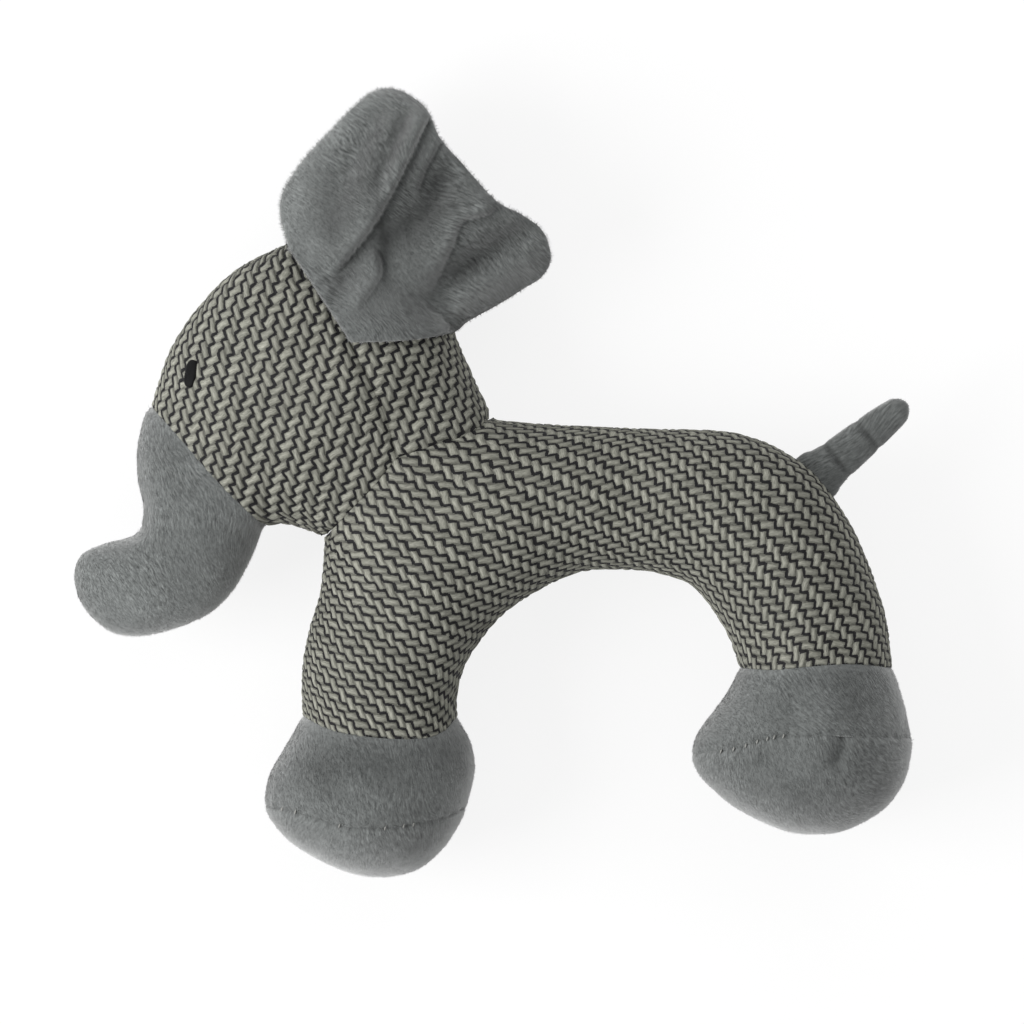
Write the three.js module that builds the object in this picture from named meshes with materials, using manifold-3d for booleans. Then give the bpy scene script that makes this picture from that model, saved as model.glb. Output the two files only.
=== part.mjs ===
// A stuffed elephant for a dog, lying on its side, in millimetres.
// The toy's middle plane is level. The near side faces up (+Z) and the far side lies on the floor at z = 0.
// +X runs from the trunk to the rump and +Y from the boots to the ears.
import * as THREE from 'three';
import { mergeVertices } from 'three/addons/utils/BufferGeometryUtils.js';
import Module from 'manifold-3d';

// Cloth and clearances
const CLOTH = 2; // cover cloth as sewn, backing and pile together
const EAR_CLOTH = 2; // each of an ear's two layers
const SEAM_GAP = 0.3; // space between pieces that are sewn or seated against each other
const FLOOR_PRESS = 0.5; // depth to which the floor presses the lowest curves flat

// Neck seam: its middle, the direction from body to head, and half its width and depth
const NECK_X = -28.2;
const NECK_Y = 3.2;
const NECK_TURN = 124.6;
const NECK_HALF_WIDTH = 33;
const NECK_HALF_DEPTH = 27;
const NECK_ROOT = 25; // how far the neck reaches down into the shoulder

// Head, measured along the neck's direction from the neck seam
const JAW_AT = 14.7;
const JAW_HALF_WIDTH = 42.3;
const JAW_HALF_DEPTH = 30;
const CHEEK_AT = 41.3;
const CHEEK_HALF_WIDTH = 49.3;
const CHEEK_HALF_DEPTH = 33.5;
const BROW_AT = 60;
const BROW_HALF_WIDTH = 47.5;
const BROW_HALF_DEPTH = 32;
const CROWN_LENGTH = 29.5; // rounded end past the brow
const FACE_OFFSET = 8; // the head's middle lies this far toward the trunk
const SIDE_SEAM_NECK = 1; // seam between the head's front and back panels, behind the neck's middle line
const SIDE_SEAM_BROW = 8;

// Trunk seam and trunk
const TRUNK_SEAM_X = -95;
const TRUNK_SEAM_Y = 6.5;
const TRUNK_SEAM_TURN = 223.5;
const TRUNK_SEAM_HALF_WIDTH = 26.8;
const TRUNK_SEAM_HALF_DEPTH = 24;
const MUZZLE_ROOT = 36; // how far the muzzle reaches back into the head
const MUZZLE_HALF_WIDTH = 36;
const MUZZLE_HALF_DEPTH = 31;
const TRUNK_UPPER_LEFT = 3; // the trunk's places, left of and below the middle of its seam
const TRUNK_UPPER_DOWN = 14;
const TRUNK_BEND_LEFT = 6;
const TRUNK_BEND_DOWN = 28.5;
const TRUNK_BEND_HALF_WIDTH = 19.2;
const TRUNK_BEND_HALF_DEPTH = 18;
const TRUNK_KNEE_LEFT = 12;
const TRUNK_KNEE_DOWN = 36.3;
const TRUNK_KNEE_HALF_WIDTH = 18;
const TRUNK_KNEE_HALF_DEPTH = 17.2;
const TRUNK_FORE_LEFT = 21.3;
const TRUNK_FORE_DOWN = 40.8;
const TRUNK_FORE_HALF_WIDTH = 17;
const TRUNK_FORE_HALF_DEPTH = 16.2;
const TRUNK_TIP_LEFT = 33.3;
const TRUNK_TIP_DOWN = 42.2;
const TRUNK_TIP_HALF_WIDTH = 15;
const TRUNK_TIP_HALF_DEPTH = 14.4;
const TRUNK_TIP_ROUND = 11;

// Body, an arch from the front boot over the back to the rear boot
const FRONT_ANKLE_X = -37.3;
const FRONT_ANKLE_Y = -81.5;
const FRONT_ANKLE_TURN = 83;
const FRONT_ANKLE_HALF_WIDTH = 26;
const FRONT_ANKLE_HALF_DEPTH = 25;
const FRONT_SHIN_X = -36.7;
const FRONT_SHIN_Y = -62.7;
const FRONT_SHIN_HALF_WIDTH = 26.8;
const FRONT_SHIN_HALF_DEPTH = 26;
const FRONT_KNEE_X = -30.2;
const FRONT_KNEE_Y = -45.7;
const FRONT_KNEE_HALF_WIDTH = 29.5;
const FRONT_KNEE_HALF_DEPTH = 28;
const CHEST_X = -24.8;
const CHEST_Y = -30.3;
const CHEST_HALF_WIDTH = 33;
const CHEST_HALF_DEPTH = 29.5;
const SHOULDER_X = -9.2;
const SHOULDER_Y = -15.3;
const SHOULDER_HALF_WIDTH = 33;
const SHOULDER_HALF_DEPTH = 30;
const WITHERS_X = 17.5;
const WITHERS_Y = -4.5;
const WITHERS_HALF_WIDTH = 29.4;
const WITHERS_HALF_DEPTH = 28.2;
const BACK_X = 44.2;
const BACK_Y = -5.5;
const BACK_HALF_WIDTH = 23.6;
const BACK_HALF_DEPTH = 24.5;
const LOIN_X = 68.7;
const LOIN_Y = -7.2;
const LOIN_HALF_WIDTH = 26;
const LOIN_HALF_DEPTH = 26;
const RUMP_X = 86.3;
const RUMP_Y = -15.3;
const RUMP_HALF_WIDTH = 28.1;
const RUMP_HALF_DEPTH = 27.5;
const HIP_X = 98.7;
const HIP_Y = -32.8;
const HIP_HALF_WIDTH = 27;
const HIP_HALF_DEPTH = 26.7;
const REAR_SHIN_X = 105.5;
const REAR_SHIN_Y = -50.2;
const REAR_SHIN_HALF_WIDTH = 26.1;
const REAR_SHIN_HALF_DEPTH = 25.5;
const REAR_ANKLE_X = 107.3;
const REAR_ANKLE_Y = -61.7;
const REAR_ANKLE_TURN = -90;
const REAR_ANKLE_HALF_WIDTH = 25.5;
const REAR_ANKLE_HALF_DEPTH = 25;

// Boots, measured down from the ankle seam
const BOOT_HALF_DEPTH = 36;
const FRONT_INSTEP_DROP = 9;
const FRONT_INSTEP_HALF_WIDTH = 32;
const FRONT_FOOT_DROP = 22.5;
const FRONT_FOOT_HALF_WIDTH = 34.3;
const FRONT_FOOT_ROUND = 27.3;
const FRONT_SOLE_DROP = 28;
const REAR_INSTEP_DROP = 14;
const REAR_INSTEP_HALF_WIDTH = 31.8;
const REAR_FOOT_DROP = 27.3;
const REAR_FOOT_HALF_WIDTH = 36.5;
const REAR_FOOT_ROUND = 27.7;
const REAR_SOLE_DROP = 25.6;
const INSTEP_HALF_DEPTH = 31;
const TOE_REACH = 4.3; // the foot's middle lies this far toward the toe
const SOLE_TURN = 7; // degrees, the sole's lowest point lies back from the toe

// Ears: a fan sewn along a line on the head's side, in a flat pattern
const EAR_SEAM_LOW = 45.2; // along the neck's direction from the neck seam
const EAR_SEAM_HIGH = 72.8;
const EAR_SEAM_BACK = 9.5; // behind the neck's middle line
const EAR_SEAT = 0.8; // room between the head and the ear's inner layer, so that the ear can fold forward
const EAR_ROOT = 2; // the ear's own cloth starts this far behind the line it folds on
const EAR_REACH = 70; // from the seam to the tip that points back
const EAR_CROWN_REACH = 55; // from the seam to the top of the front lobe
const EAR_LOBE = 39; // how far the front lobe rises past the seam's upper end
const EAR_TIP_DROP = 42; // how far the lower edge falls past the seam's upper end
const EAR_LOBE_FALL = 9.1; // how much lower the front lobe's top lies than the seam
const EAR_TIP_FALL = 19; // how much lower the lower edge lies than the seam
const EAR_REACH_FALL = 5.6; // how much lower the tip that points back lies than the seam
const EAR_FREE = 12; // distance from the seam over which the folds grow
const EAR_PLEAT = 3; // height of the pleat that parts the front lobe from the rest
const EAR_PLEAT_START = 6; // where the pleat leaves the seam, below its upper end
const EAR_PLEAT_RISE = 30; // how far the pleat has climbed at the tip's reach
const EAR_PLEAT_EDGE = 4; // width of the pleat's step
const EAR_PLEAT_FADE = 14; // distance over which the pleat fades into the lobes

// Tail
const TAIL_ALONG = 0.75; // place along the body's arch
const TAIL_TURN = 42;
const TAIL_LENGTH = 36.5;
const TAIL_ROOT_HALF_WIDTH = 8;
const TAIL_TIP_HALF_WIDTH = 4;
const TAIL_HALF_DEPTH = 3.8;

// Eyes, embroidered
const EYE_AT = 69; // along the neck's direction from the neck seam
const EYE_FORWARD = 41.3; // in front of the neck's middle line
const EYE_LENGTH = 9.4;
const EYE_WIDTH = 5.6;
const EYE_RISE = 1.6; // height of the stitching

// Squeaker: a bulb of two stiff ends and a pleated wall between them, with its reed plug in the base
const SQUEAKER_X = -13;
const SQUEAKER_Y = -14;
const SQUEAKER_RADIUS = 20;
const SQUEAKER_END_HEIGHT = 10;
const SQUEAKER_WALL = 1.4;
const BASE_EDGE = 2; // rounded edge of the base cup
const CROWN_EDGE = 5; // rounded shoulder of the crown
const PLEAT_HEIGHT = 13.4;
const PLEAT_DEPTH = 3.5;
const PLEAT_COUNT = 3;
const PLUG_RADIUS = 5;
const PLUG_LENGTH = 13;
const PLUG_FLANGE_RADIUS = 7.5;
const PLUG_FLANGE = 1.5;
const REED_WIDTH = 4.4;
const REED_LENGTH = 10;
const REED_THICKNESS = 0.5;
const REED_SWING = 1.5; // free space in front of the reed

// Facets
const RINGS_PER_SPAN = 2;
const SIDES = 16;
const FILL_SIDES = 8; // the stuffing's facets lie inside the cover's
const ROUND_RINGS = 4;
const LATHE_SIDES = 20;

const LYING_HEIGHT = BOOT_HALF_DEPTH - FLOOR_PRESS;

const wasm = await Module();
wasm.setup();

const heading = (degrees) => {
  const angle = THREE.MathUtils.degToRad(degrees);
  return new THREE.Vector3(Math.cos(angle), Math.sin(angle), 0);
};

// A closed geometry as a solid that can be joined and cut.
function solidOf(geometry) {
  const bare = geometry.clone();
  bare.deleteAttribute('normal');
  bare.deleteAttribute('uv');
  const merged = mergeVertices(bare, 1e-4);
  const vertProperties = new Float32Array(merged.attributes.position.array);
  const triVerts = new Uint32Array(merged.index.array);
  return new wasm.Manifold(new wasm.Mesh({ numProp: 3, vertProperties, triVerts }));
}

function geometryOf(solid) {
  const mesh = solid.getMesh();
  const geometry = new THREE.BufferGeometry();
  geometry.setAttribute('position', new THREE.BufferAttribute(new Float32Array(mesh.vertProperties), 3));
  geometry.setIndex(new THREE.BufferAttribute(new Uint32Array(mesh.triVerts), 1));
  geometry.computeVertexNormals();
  return geometry;
}

// The part of a solid on the side of an upright plane that `turn` points to, `gap` away from the plane.
function ahead(solid, point, turn, gap) {
  const normal = heading(turn);
  return solid.trimByPlane(normal.toArray(), normal.dot(point) + gap);
}

const nearSide = (solid) => solid.trimByPlane([0, 0, 1], SEAM_GAP / 2);
const farSide = (solid) => solid.trimByPlane([0, 0, -1], SEAM_GAP / 2);
const onFloor = (solid) => solid.trimByPlane([0, 0, 1], -LYING_HEIGHT);

function mirrored(geometry) {
  const copy = geometry.clone().scale(1, 1, -1);
  const index = copy.index.array;
  for (let i = 0; i < index.length; i += 3) {
    [index[i + 1], index[i + 2]] = [index[i + 2], index[i + 1]];
  }
  return copy;
}

const station = (x, y, turn, half, depth) => ({ x, y, turn, half, depth });

// Middle, direction and size of a stuffed form at `t` from 0 to 1 along its stations.
function sectionAt(stations, t) {
  const middle = new THREE.CatmullRomCurve3(stations.map((s) => new THREE.Vector3(s.x, s.y, 0))).getPoint(t);
  const size = new THREE.CatmullRomCurve3(
    stations.map((s) => new THREE.Vector3(s.half, s.depth, s.turn)),
  ).getPoint(t);
  return { middle, half: size.x, depth: size.y, turn: size.z };
}

// A stuffed form: oval sections set square to the middle plane along the stations, with a flat or a
// rounded far end. `inset` shrinks it by a cloth's thickness and `extend` lengthens its flat ends.
function stuffed(stations, { round = 0, roundTurn = 0, inset = 0, extend = 0, sides = SIDES } = {}) {
  const spans = (stations.length - 1) * RINGS_PER_SPAN;
  const rings = [];
  for (let i = 0; i <= spans; i += 1) {
    const ring = sectionAt(stations, i / spans);
    ring.half -= inset;
    ring.depth -= inset;
    rings.push(ring);
  }
  rings[0].middle.addScaledVector(heading(rings[0].turn), -extend);
  const last = rings[spans];
  const poles = [rings[0].middle.clone()];
  if (round > 0) {
    const direction = heading(last.turn + roundTurn);
    for (let k = 1; k < ROUND_RINGS; k += 1) {
      const angle = (k / ROUND_RINGS) * (Math.PI / 2);
      rings.push({
        middle: last.middle.clone().addScaledVector(direction, (round - inset) * Math.sin(angle)),
        turn: last.turn,
        half: last.half * Math.cos(angle),
        depth: last.depth * Math.cos(angle),
      });
    }
    poles.push(last.middle.clone().addScaledVector(direction, round - inset));
  } else {
    last.middle.addScaledVector(heading(last.turn), extend);
    poles.push(last.middle.clone());
  }
  return loft(rings, poles, sides);
}

function loft(rings, poles, sides) {
  const points = [];
  for (const ring of rings) {
    const across = heading(ring.turn + 90);
    for (let j = 0; j < sides; j += 1) {
      const angle = (j / sides) * 2 * Math.PI;
      const point = ring.middle.clone().addScaledVector(across, ring.half * Math.cos(angle));
      point.z += ring.depth * Math.sin(angle);
      points.push(point);
    }
  }
  points.push(...poles);
  const first = rings.length * sides;
  const faces = [];
  for (let j = 0; j < sides; j += 1) {
    const next = (j + 1) % sides;
    const end = (rings.length - 1) * sides;
    faces.push(first, next, j);
    faces.push(first + 1, end + j, end + next);
    for (let i = 0; i < rings.length - 1; i += 1) {
      const here = i * sides;
      const there = here + sides;
      faces.push(here + j, here + next, there + next);
      faces.push(here + j, there + next, there + j);
    }
  }
  const geometry = new THREE.BufferGeometry().setFromPoints(points);
  geometry.setIndex(faces);
  return solidOf(geometry);
}

// Places on the head, along the neck's direction and toward the trunk from the neck's middle line.
const neckSeam = new THREE.Vector3(NECK_X, NECK_Y, 0);
function onHead(along, forward) {
  return neckSeam
    .clone()
    .addScaledVector(heading(NECK_TURN), along)
    .addScaledVector(heading(NECK_TURN + 90), forward);
}

function headStation(along, forward, half, depth) {
  const place = onHead(along, forward);
  return station(place.x, place.y, NECK_TURN, half, depth);
}

const headStations = [
  headStation(0, 0, NECK_HALF_WIDTH, NECK_HALF_DEPTH),
  headStation(JAW_AT, FACE_OFFSET * 0.8, JAW_HALF_WIDTH, JAW_HALF_DEPTH),
  headStation(CHEEK_AT, FACE_OFFSET, CHEEK_HALF_WIDTH, CHEEK_HALF_DEPTH),
  headStation(BROW_AT, FACE_OFFSET, BROW_HALF_WIDTH, BROW_HALF_DEPTH),
];

const trunkSeam = new THREE.Vector3(TRUNK_SEAM_X, TRUNK_SEAM_Y, 0);
const muzzleRoot = trunkSeam.clone().addScaledVector(heading(TRUNK_SEAM_TURN), -MUZZLE_ROOT);
const muzzleStations = [
  station(muzzleRoot.x, muzzleRoot.y, TRUNK_SEAM_TURN, MUZZLE_HALF_WIDTH, MUZZLE_HALF_DEPTH),
  station(TRUNK_SEAM_X, TRUNK_SEAM_Y, TRUNK_SEAM_TURN, TRUNK_SEAM_HALF_WIDTH, TRUNK_SEAM_HALF_DEPTH),
];

// The trunk hangs from its seam, bends forward and ends in a rounded tip.
const trunkAt = (left, down, turn, halfWidth, halfDepth) =>
  station(TRUNK_SEAM_X - left, TRUNK_SEAM_Y - down, turn, halfWidth, halfDepth);
const trunkStations = [
  trunkAt(0, 0, TRUNK_SEAM_TURN, TRUNK_SEAM_HALF_WIDTH, TRUNK_SEAM_HALF_DEPTH),
  trunkAt(
    TRUNK_UPPER_LEFT,
    TRUNK_UPPER_DOWN,
    239,
    (TRUNK_SEAM_HALF_WIDTH + TRUNK_BEND_HALF_WIDTH) / 2,
    (TRUNK_SEAM_HALF_DEPTH + TRUNK_BEND_HALF_DEPTH) / 2,
  ),
  trunkAt(TRUNK_BEND_LEFT, TRUNK_BEND_DOWN, 233, TRUNK_BEND_HALF_WIDTH, TRUNK_BEND_HALF_DEPTH),
  trunkAt(TRUNK_KNEE_LEFT, TRUNK_KNEE_DOWN, 217, TRUNK_KNEE_HALF_WIDTH, TRUNK_KNEE_HALF_DEPTH),
  trunkAt(TRUNK_FORE_LEFT, TRUNK_FORE_DOWN, 203, TRUNK_FORE_HALF_WIDTH, TRUNK_FORE_HALF_DEPTH),
  trunkAt(TRUNK_TIP_LEFT, TRUNK_TIP_DOWN, 185, TRUNK_TIP_HALF_WIDTH, TRUNK_TIP_HALF_DEPTH),
];

const archStations = [
  station(FRONT_ANKLE_X, FRONT_ANKLE_Y, FRONT_ANKLE_TURN, FRONT_ANKLE_HALF_WIDTH, FRONT_ANKLE_HALF_DEPTH),
  station(FRONT_SHIN_X, FRONT_SHIN_Y, 89, FRONT_SHIN_HALF_WIDTH, FRONT_SHIN_HALF_DEPTH),
  station(FRONT_KNEE_X, FRONT_KNEE_Y, 83.5, FRONT_KNEE_HALF_WIDTH, FRONT_KNEE_HALF_DEPTH),
  station(CHEST_X, CHEST_Y, 69, CHEST_HALF_WIDTH, CHEST_HALF_DEPTH),
  station(SHOULDER_X, SHOULDER_Y, 53.6, SHOULDER_HALF_WIDTH, SHOULDER_HALF_DEPTH),
  station(WITHERS_X, WITHERS_Y, 30.5, WITHERS_HALF_WIDTH, WITHERS_HALF_DEPTH),
  station(BACK_X, BACK_Y, 4, BACK_HALF_WIDTH, BACK_HALF_DEPTH),
  station(LOIN_X, LOIN_Y, -19.8, LOIN_HALF_WIDTH, LOIN_HALF_DEPTH),
  station(RUMP_X, RUMP_Y, -35.1, RUMP_HALF_WIDTH, RUMP_HALF_DEPTH),
  station(HIP_X, HIP_Y, -55, HIP_HALF_WIDTH, HIP_HALF_DEPTH),
  station(REAR_SHIN_X, REAR_SHIN_Y, -76.3, REAR_SHIN_HALF_WIDTH, REAR_SHIN_HALF_DEPTH),
  station(REAR_ANKLE_X, REAR_ANKLE_Y, REAR_ANKLE_TURN, REAR_ANKLE_HALF_WIDTH, REAR_ANKLE_HALF_DEPTH),
];

const neckRoot = neckSeam.clone().addScaledVector(heading(NECK_TURN), -NECK_ROOT);
const neckStations = [
  station(neckRoot.x, neckRoot.y, NECK_TURN, NECK_HALF_WIDTH - CLOTH, SHOULDER_HALF_DEPTH - CLOTH / 2),
  station(NECK_X, NECK_Y, NECK_TURN, NECK_HALF_WIDTH, NECK_HALF_DEPTH),
];

// A boot goes on from the ankle's section and ends in a rounded sole.
function bootStations(x, y, turn, ankleHalf, ankleDepth, instep, instepHalf, foot, footHalf) {
  return [
    station(x, y, turn, ankleHalf, ankleDepth),
    station(x - TOE_REACH * 0.4, y - instep, (turn + 270) / 2, instepHalf, INSTEP_HALF_DEPTH),
    station(x - TOE_REACH, y - foot, 270, footHalf, BOOT_HALF_DEPTH),
  ];
}

const frontBootStations = bootStations(
  FRONT_ANKLE_X,
  FRONT_ANKLE_Y,
  FRONT_ANKLE_TURN + 180,
  FRONT_ANKLE_HALF_WIDTH,
  FRONT_ANKLE_HALF_DEPTH,
  FRONT_INSTEP_DROP,
  FRONT_INSTEP_HALF_WIDTH,
  FRONT_FOOT_DROP,
  FRONT_FOOT_HALF_WIDTH,
);
const rearBootStations = bootStations(
  REAR_ANKLE_X,
  REAR_ANKLE_Y,
  REAR_ANKLE_TURN + 360,
  REAR_ANKLE_HALF_WIDTH,
  REAR_ANKLE_HALF_DEPTH,
  REAR_INSTEP_DROP,
  REAR_INSTEP_HALF_WIDTH,
  REAR_FOOT_DROP,
  REAR_FOOT_HALF_WIDTH,
);

const forms = [
  [headStations, { round: CROWN_LENGTH }],
  [muzzleStations, {}],
  [trunkStations, { round: TRUNK_TIP_ROUND }],
  [archStations, {}],
  [neckStations, {}],
  [frontBootStations, { round: FRONT_FOOT_ROUND, roundTurn: SOLE_TURN }],
  [rearBootStations, { round: REAR_FOOT_ROUND, roundTurn: SOLE_TURN }],
];
const [skull, muzzle, trunk, arch, neck, frontBoot, rearBoot] = forms.map(([s, end]) => stuffed(s, end));

// All that lies inside the cover, joined through the seams.
function core(inset, sides) {
  return forms
    .map(([s, end]) => stuffed(s, { ...end, inset, sides, extend: CLOTH }))
    .reduce((whole, form) => whole.add(form));
}
const lining = core(CLOTH, SIDES);
const stuffing = core(CLOTH + SEAM_GAP, FILL_SIDES).trimByPlane([0, 0, 1], CLOTH + SEAM_GAP - LYING_HEIGHT);

// The toy's parts, parted by a seam's gap at each seam plane
const half = SEAM_GAP / 2;
const frontAnkle = new THREE.Vector3(FRONT_ANKLE_X, FRONT_ANKLE_Y, 0);
const rearAnkle = new THREE.Vector3(REAR_ANKLE_X, REAR_ANKLE_Y, 0);
const headForm = ahead(
  ahead(skull.add(muzzle), neckSeam, NECK_TURN, half),
  trunkSeam,
  TRUNK_SEAM_TURN + 180,
  half,
);
const trunkForm = ahead(trunk, trunkSeam, TRUNK_SEAM_TURN, half);
const frontBootForm = ahead(frontBoot, frontAnkle, FRONT_ANKLE_TURN + 180, SEAM_GAP);
const rearBootForm = ahead(rearBoot, rearAnkle, REAR_ANKLE_TURN, SEAM_GAP);
const bodyForm = ahead(arch.add(neck), neckSeam, NECK_TURN + 180, half);

const cover = (form) => onFloor(form.subtract(lining));
const fill = (form) => form.intersect(stuffing);

// The head's side seam runs from the neck's middle to the crown, a little behind the middle line.
const sideSeamFoot = onHead(0, -SIDE_SEAM_NECK);
const sideSeamLean = THREE.MathUtils.radToDeg(Math.atan2(SIDE_SEAM_BROW - SIDE_SEAM_NECK, BROW_AT));
const sideSeamTurn = NECK_TURN + 90 - sideSeamLean;
const headCover = cover(headForm);
const headFront = ahead(headCover, sideSeamFoot, sideSeamTurn, half);
const headBack = ahead(headCover, sideSeamFoot, sideSeamTurn + 180, half);

function bootPieces(form, ankle, drop) {
  const skin = cover(form);
  const seam = ankle.clone().add(new THREE.Vector3(0, -drop, 0));
  return { upper: ahead(skin, seam, 90, half), sole: ahead(skin, seam, 270, half) };
}
const frontBootPieces = bootPieces(frontBootForm, frontAnkle, FRONT_SOLE_DROP);
const rearBootPieces = bootPieces(rearBootForm, rearAnkle, REAR_SOLE_DROP);
const trunkCover = cover(trunkForm);
const bodyCover = cover(bodyForm);

// Height and facing of the head's near side under a place in the middle plane.
const headMesh = new THREE.Mesh(geometryOf(headForm));
function headSurface(place) {
  const ray = new THREE.Raycaster(place.clone().setZ(1000), new THREE.Vector3(0, 0, -1));
  const [hit] = ray.intersectObject(headMesh);
  return { point: hit.point, normal: hit.face.normal };
}

// Ear: its outline in a flat pattern, `out` from the seam and `down` along it from the upper end.
const seamLength = EAR_SEAM_HIGH - EAR_SEAM_LOW;
const earOutline = new THREE.CatmullRomCurve3(
  [
    [EAR_ROOT, -EAR_LOBE * 0.31],
    [EAR_CROWN_REACH * 0.08, -EAR_LOBE * 0.64],
    [EAR_CROWN_REACH * 0.36, -EAR_LOBE * 0.86],
    [EAR_CROWN_REACH * 0.7, -EAR_LOBE * 1.02],
    [EAR_CROWN_REACH, -EAR_LOBE],
    [EAR_CROWN_REACH * 1.15, -EAR_LOBE * 0.72],
    [EAR_CROWN_REACH * 1.13, -EAR_LOBE * 0.38],
    [EAR_REACH * 0.93, EAR_TIP_DROP * 0.15],
    [EAR_REACH, EAR_TIP_DROP * 0.62],
    [EAR_REACH, EAR_TIP_DROP * 0.93],
    [EAR_REACH * 0.81, EAR_TIP_DROP * 1.07],
    [EAR_REACH * 0.43, EAR_TIP_DROP],
    [EAR_REACH * 0.2, EAR_TIP_DROP * 0.8],
    [EAR_ROOT, seamLength],
    [EAR_ROOT, seamLength * 0.3],
  ].map(([out, down]) => new THREE.Vector3(out, down, 0)),
  true,
);
const earMiddle = new THREE.Vector3(EAR_REACH * 0.48, EAR_LOBE * 0.05, 0);
const earPlace = (out, down) => onHead(EAR_SEAM_HIGH - down, -EAR_SEAM_BACK - out);
const EAR_RIM_POINTS = 32;
const EAR_RINGS = 3;

// The ear lies back from its seam, falls away at both ends and has a pleat that fans out from the seam.
const seatHigh = headSurface(earPlace(0, 0)).point.z + EAR_CLOTH + EAR_SEAT;
const seatLow = headSurface(earPlace(0, seamLength)).point.z + EAR_CLOTH + EAR_SEAT;
function earHeight(out, down) {
  const seat = seatHigh + (seatLow - seatHigh) * (down / seamLength);
  const reach = (EAR_REACH_FALL * out) / EAR_REACH;
  const lobe = EAR_LOBE_FALL * (Math.min(0, down) / EAR_LOBE) ** 2;
  const lowerPart = Math.max(0, down - seamLength / 2) / (EAR_TIP_DROP - seamLength / 2);
  const fromPleat = down - EAR_PLEAT_START + (EAR_PLEAT_RISE * out) / EAR_REACH;
  const step = Math.tanh(fromPleat / EAR_PLEAT_EDGE) * Math.exp(-Math.abs(fromPleat) / EAR_PLEAT_FADE);
  const free = Math.min(1, out / EAR_FREE);
  return seat - reach - lobe - (EAR_PLEAT * step + EAR_TIP_FALL * lowerPart ** 2) * free;
}

function earLayer(low, high) {
  const rim = earOutline.getPoints(EAR_RIM_POINTS).slice(0, EAR_RIM_POINTS);
  const flat = [earMiddle.clone()];
  for (let ring = 1; ring <= EAR_RINGS; ring += 1) {
    flat.push(...rim.map((p) => earMiddle.clone().lerp(p, ring / EAR_RINGS)));
  }
  const sheet = (offset) => flat.map((p) => earPlace(p.x, p.y).setZ(earHeight(p.x, p.y) + offset));
  const points = [...sheet(high), ...sheet(low)];
  const under = flat.length;
  const faces = [];
  const both = (a, b, c) => {
    faces.push(a, b, c);
    faces.push(under + a, under + c, under + b);
  };
  for (let j = 0; j < EAR_RIM_POINTS; j += 1) {
    const next = (j + 1) % EAR_RIM_POINTS;
    both(0, 1 + next, 1 + j);
    for (let ring = 1; ring < EAR_RINGS; ring += 1) {
      const here = 1 + (ring - 1) * EAR_RIM_POINTS;
      const there = here + EAR_RIM_POINTS;
      both(here + j, there + next, there + j);
      both(here + j, here + next, there + next);
    }
    const edge = 1 + (EAR_RINGS - 1) * EAR_RIM_POINTS;
    faces.push(edge + j, edge + next, under + edge + next);
    faces.push(edge + j, under + edge + next, under + edge + j);
  }
  const geometry = new THREE.BufferGeometry().setFromPoints(points);
  geometry.setIndex(faces);
  return solidOf(geometry);
}

// The head grown by a seam's gap, to seat what is sewn onto it.
const headGrown = stuffed(headStations, { round: CROWN_LENGTH, inset: -SEAM_GAP }).add(
  stuffed(muzzleStations, { inset: -SEAM_GAP }),
);
const earOuter = earLayer(half, half + EAR_CLOTH).subtract(headGrown);
const earInner = earLayer(-half - EAR_CLOTH, -half).subtract(headGrown);

// Eye: a low oval of stitching that follows the head.
const eyeSeat = headSurface(onHead(EYE_AT, EYE_FORWARD));
const eyeShape = new THREE.SphereGeometry(1, 12, 6).scale(EYE_WIDTH / 2, EYE_LENGTH / 2, EYE_RISE);
const eyeUp = heading(NECK_TURN - 62);
const eyeSide = eyeUp.clone().cross(eyeSeat.normal).normalize();
const eyeTop = eyeSeat.normal.clone().cross(eyeSide);
eyeShape.applyMatrix4(new THREE.Matrix4().makeBasis(eyeSide, eyeTop, eyeSeat.normal).setPosition(eyeSeat.point));
const eye = solidOf(eyeShape).subtract(headGrown);

// Tail: a folded strip with a rounded root, so that it can flop to either side.
const tailSeat = sectionAt(archStations, TAIL_ALONG);
const tailRoot = tailSeat.middle.clone().addScaledVector(heading(tailSeat.turn + 90), tailSeat.half);
const tailAt = (along, turn, halfWidth) => {
  const place = tailRoot.clone().addScaledVector(heading(TAIL_TURN), along);
  return station(place.x, place.y, turn, halfWidth, TAIL_HALF_DEPTH);
};
const tailAxis = SEAM_GAP + TAIL_HALF_DEPTH;
const tailStations = [
  tailAt(tailAxis - TAIL_HALF_DEPTH * 0.95, tailSeat.turn + 90, TAIL_ROOT_HALF_WIDTH * 0.9),
  tailAt(tailAxis, tailSeat.turn + 90, TAIL_ROOT_HALF_WIDTH),
  tailAt((tailAxis + TAIL_LENGTH) / 2, TAIL_TURN, (TAIL_ROOT_HALF_WIDTH + TAIL_TIP_HALF_WIDTH) / 2 + 0.4),
  tailAt(TAIL_LENGTH - TAIL_TIP_HALF_WIDTH, TAIL_TURN, TAIL_TIP_HALF_WIDTH),
];
tailStations[0].depth = TAIL_HALF_DEPTH * 0.42;
const bodyGrown = stuffed(archStations, { inset: -SEAM_GAP });
const tail = stuffed(tailStations, { round: TAIL_TIP_HALF_WIDTH }).subtract(bodyGrown);

// Squeaker, drawn about its own middle with its axis upright
const endHeight = SQUEAKER_END_HEIGHT;
const pleatTop = PLEAT_HEIGHT / 2;
const endFoot = pleatTop + SEAM_GAP;
const endTop = endFoot + endHeight;
const inner = SQUEAKER_RADIUS - SQUEAKER_WALL;
const plugHole = PLUG_RADIUS + SEAM_GAP;

function lathe(profile) {
  const points = profile.map(([radius, height]) => new THREE.Vector2(radius, height));
  return new THREE.LatheGeometry(points, LATHE_SIDES).rotateX(Math.PI / 2);
}

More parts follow.
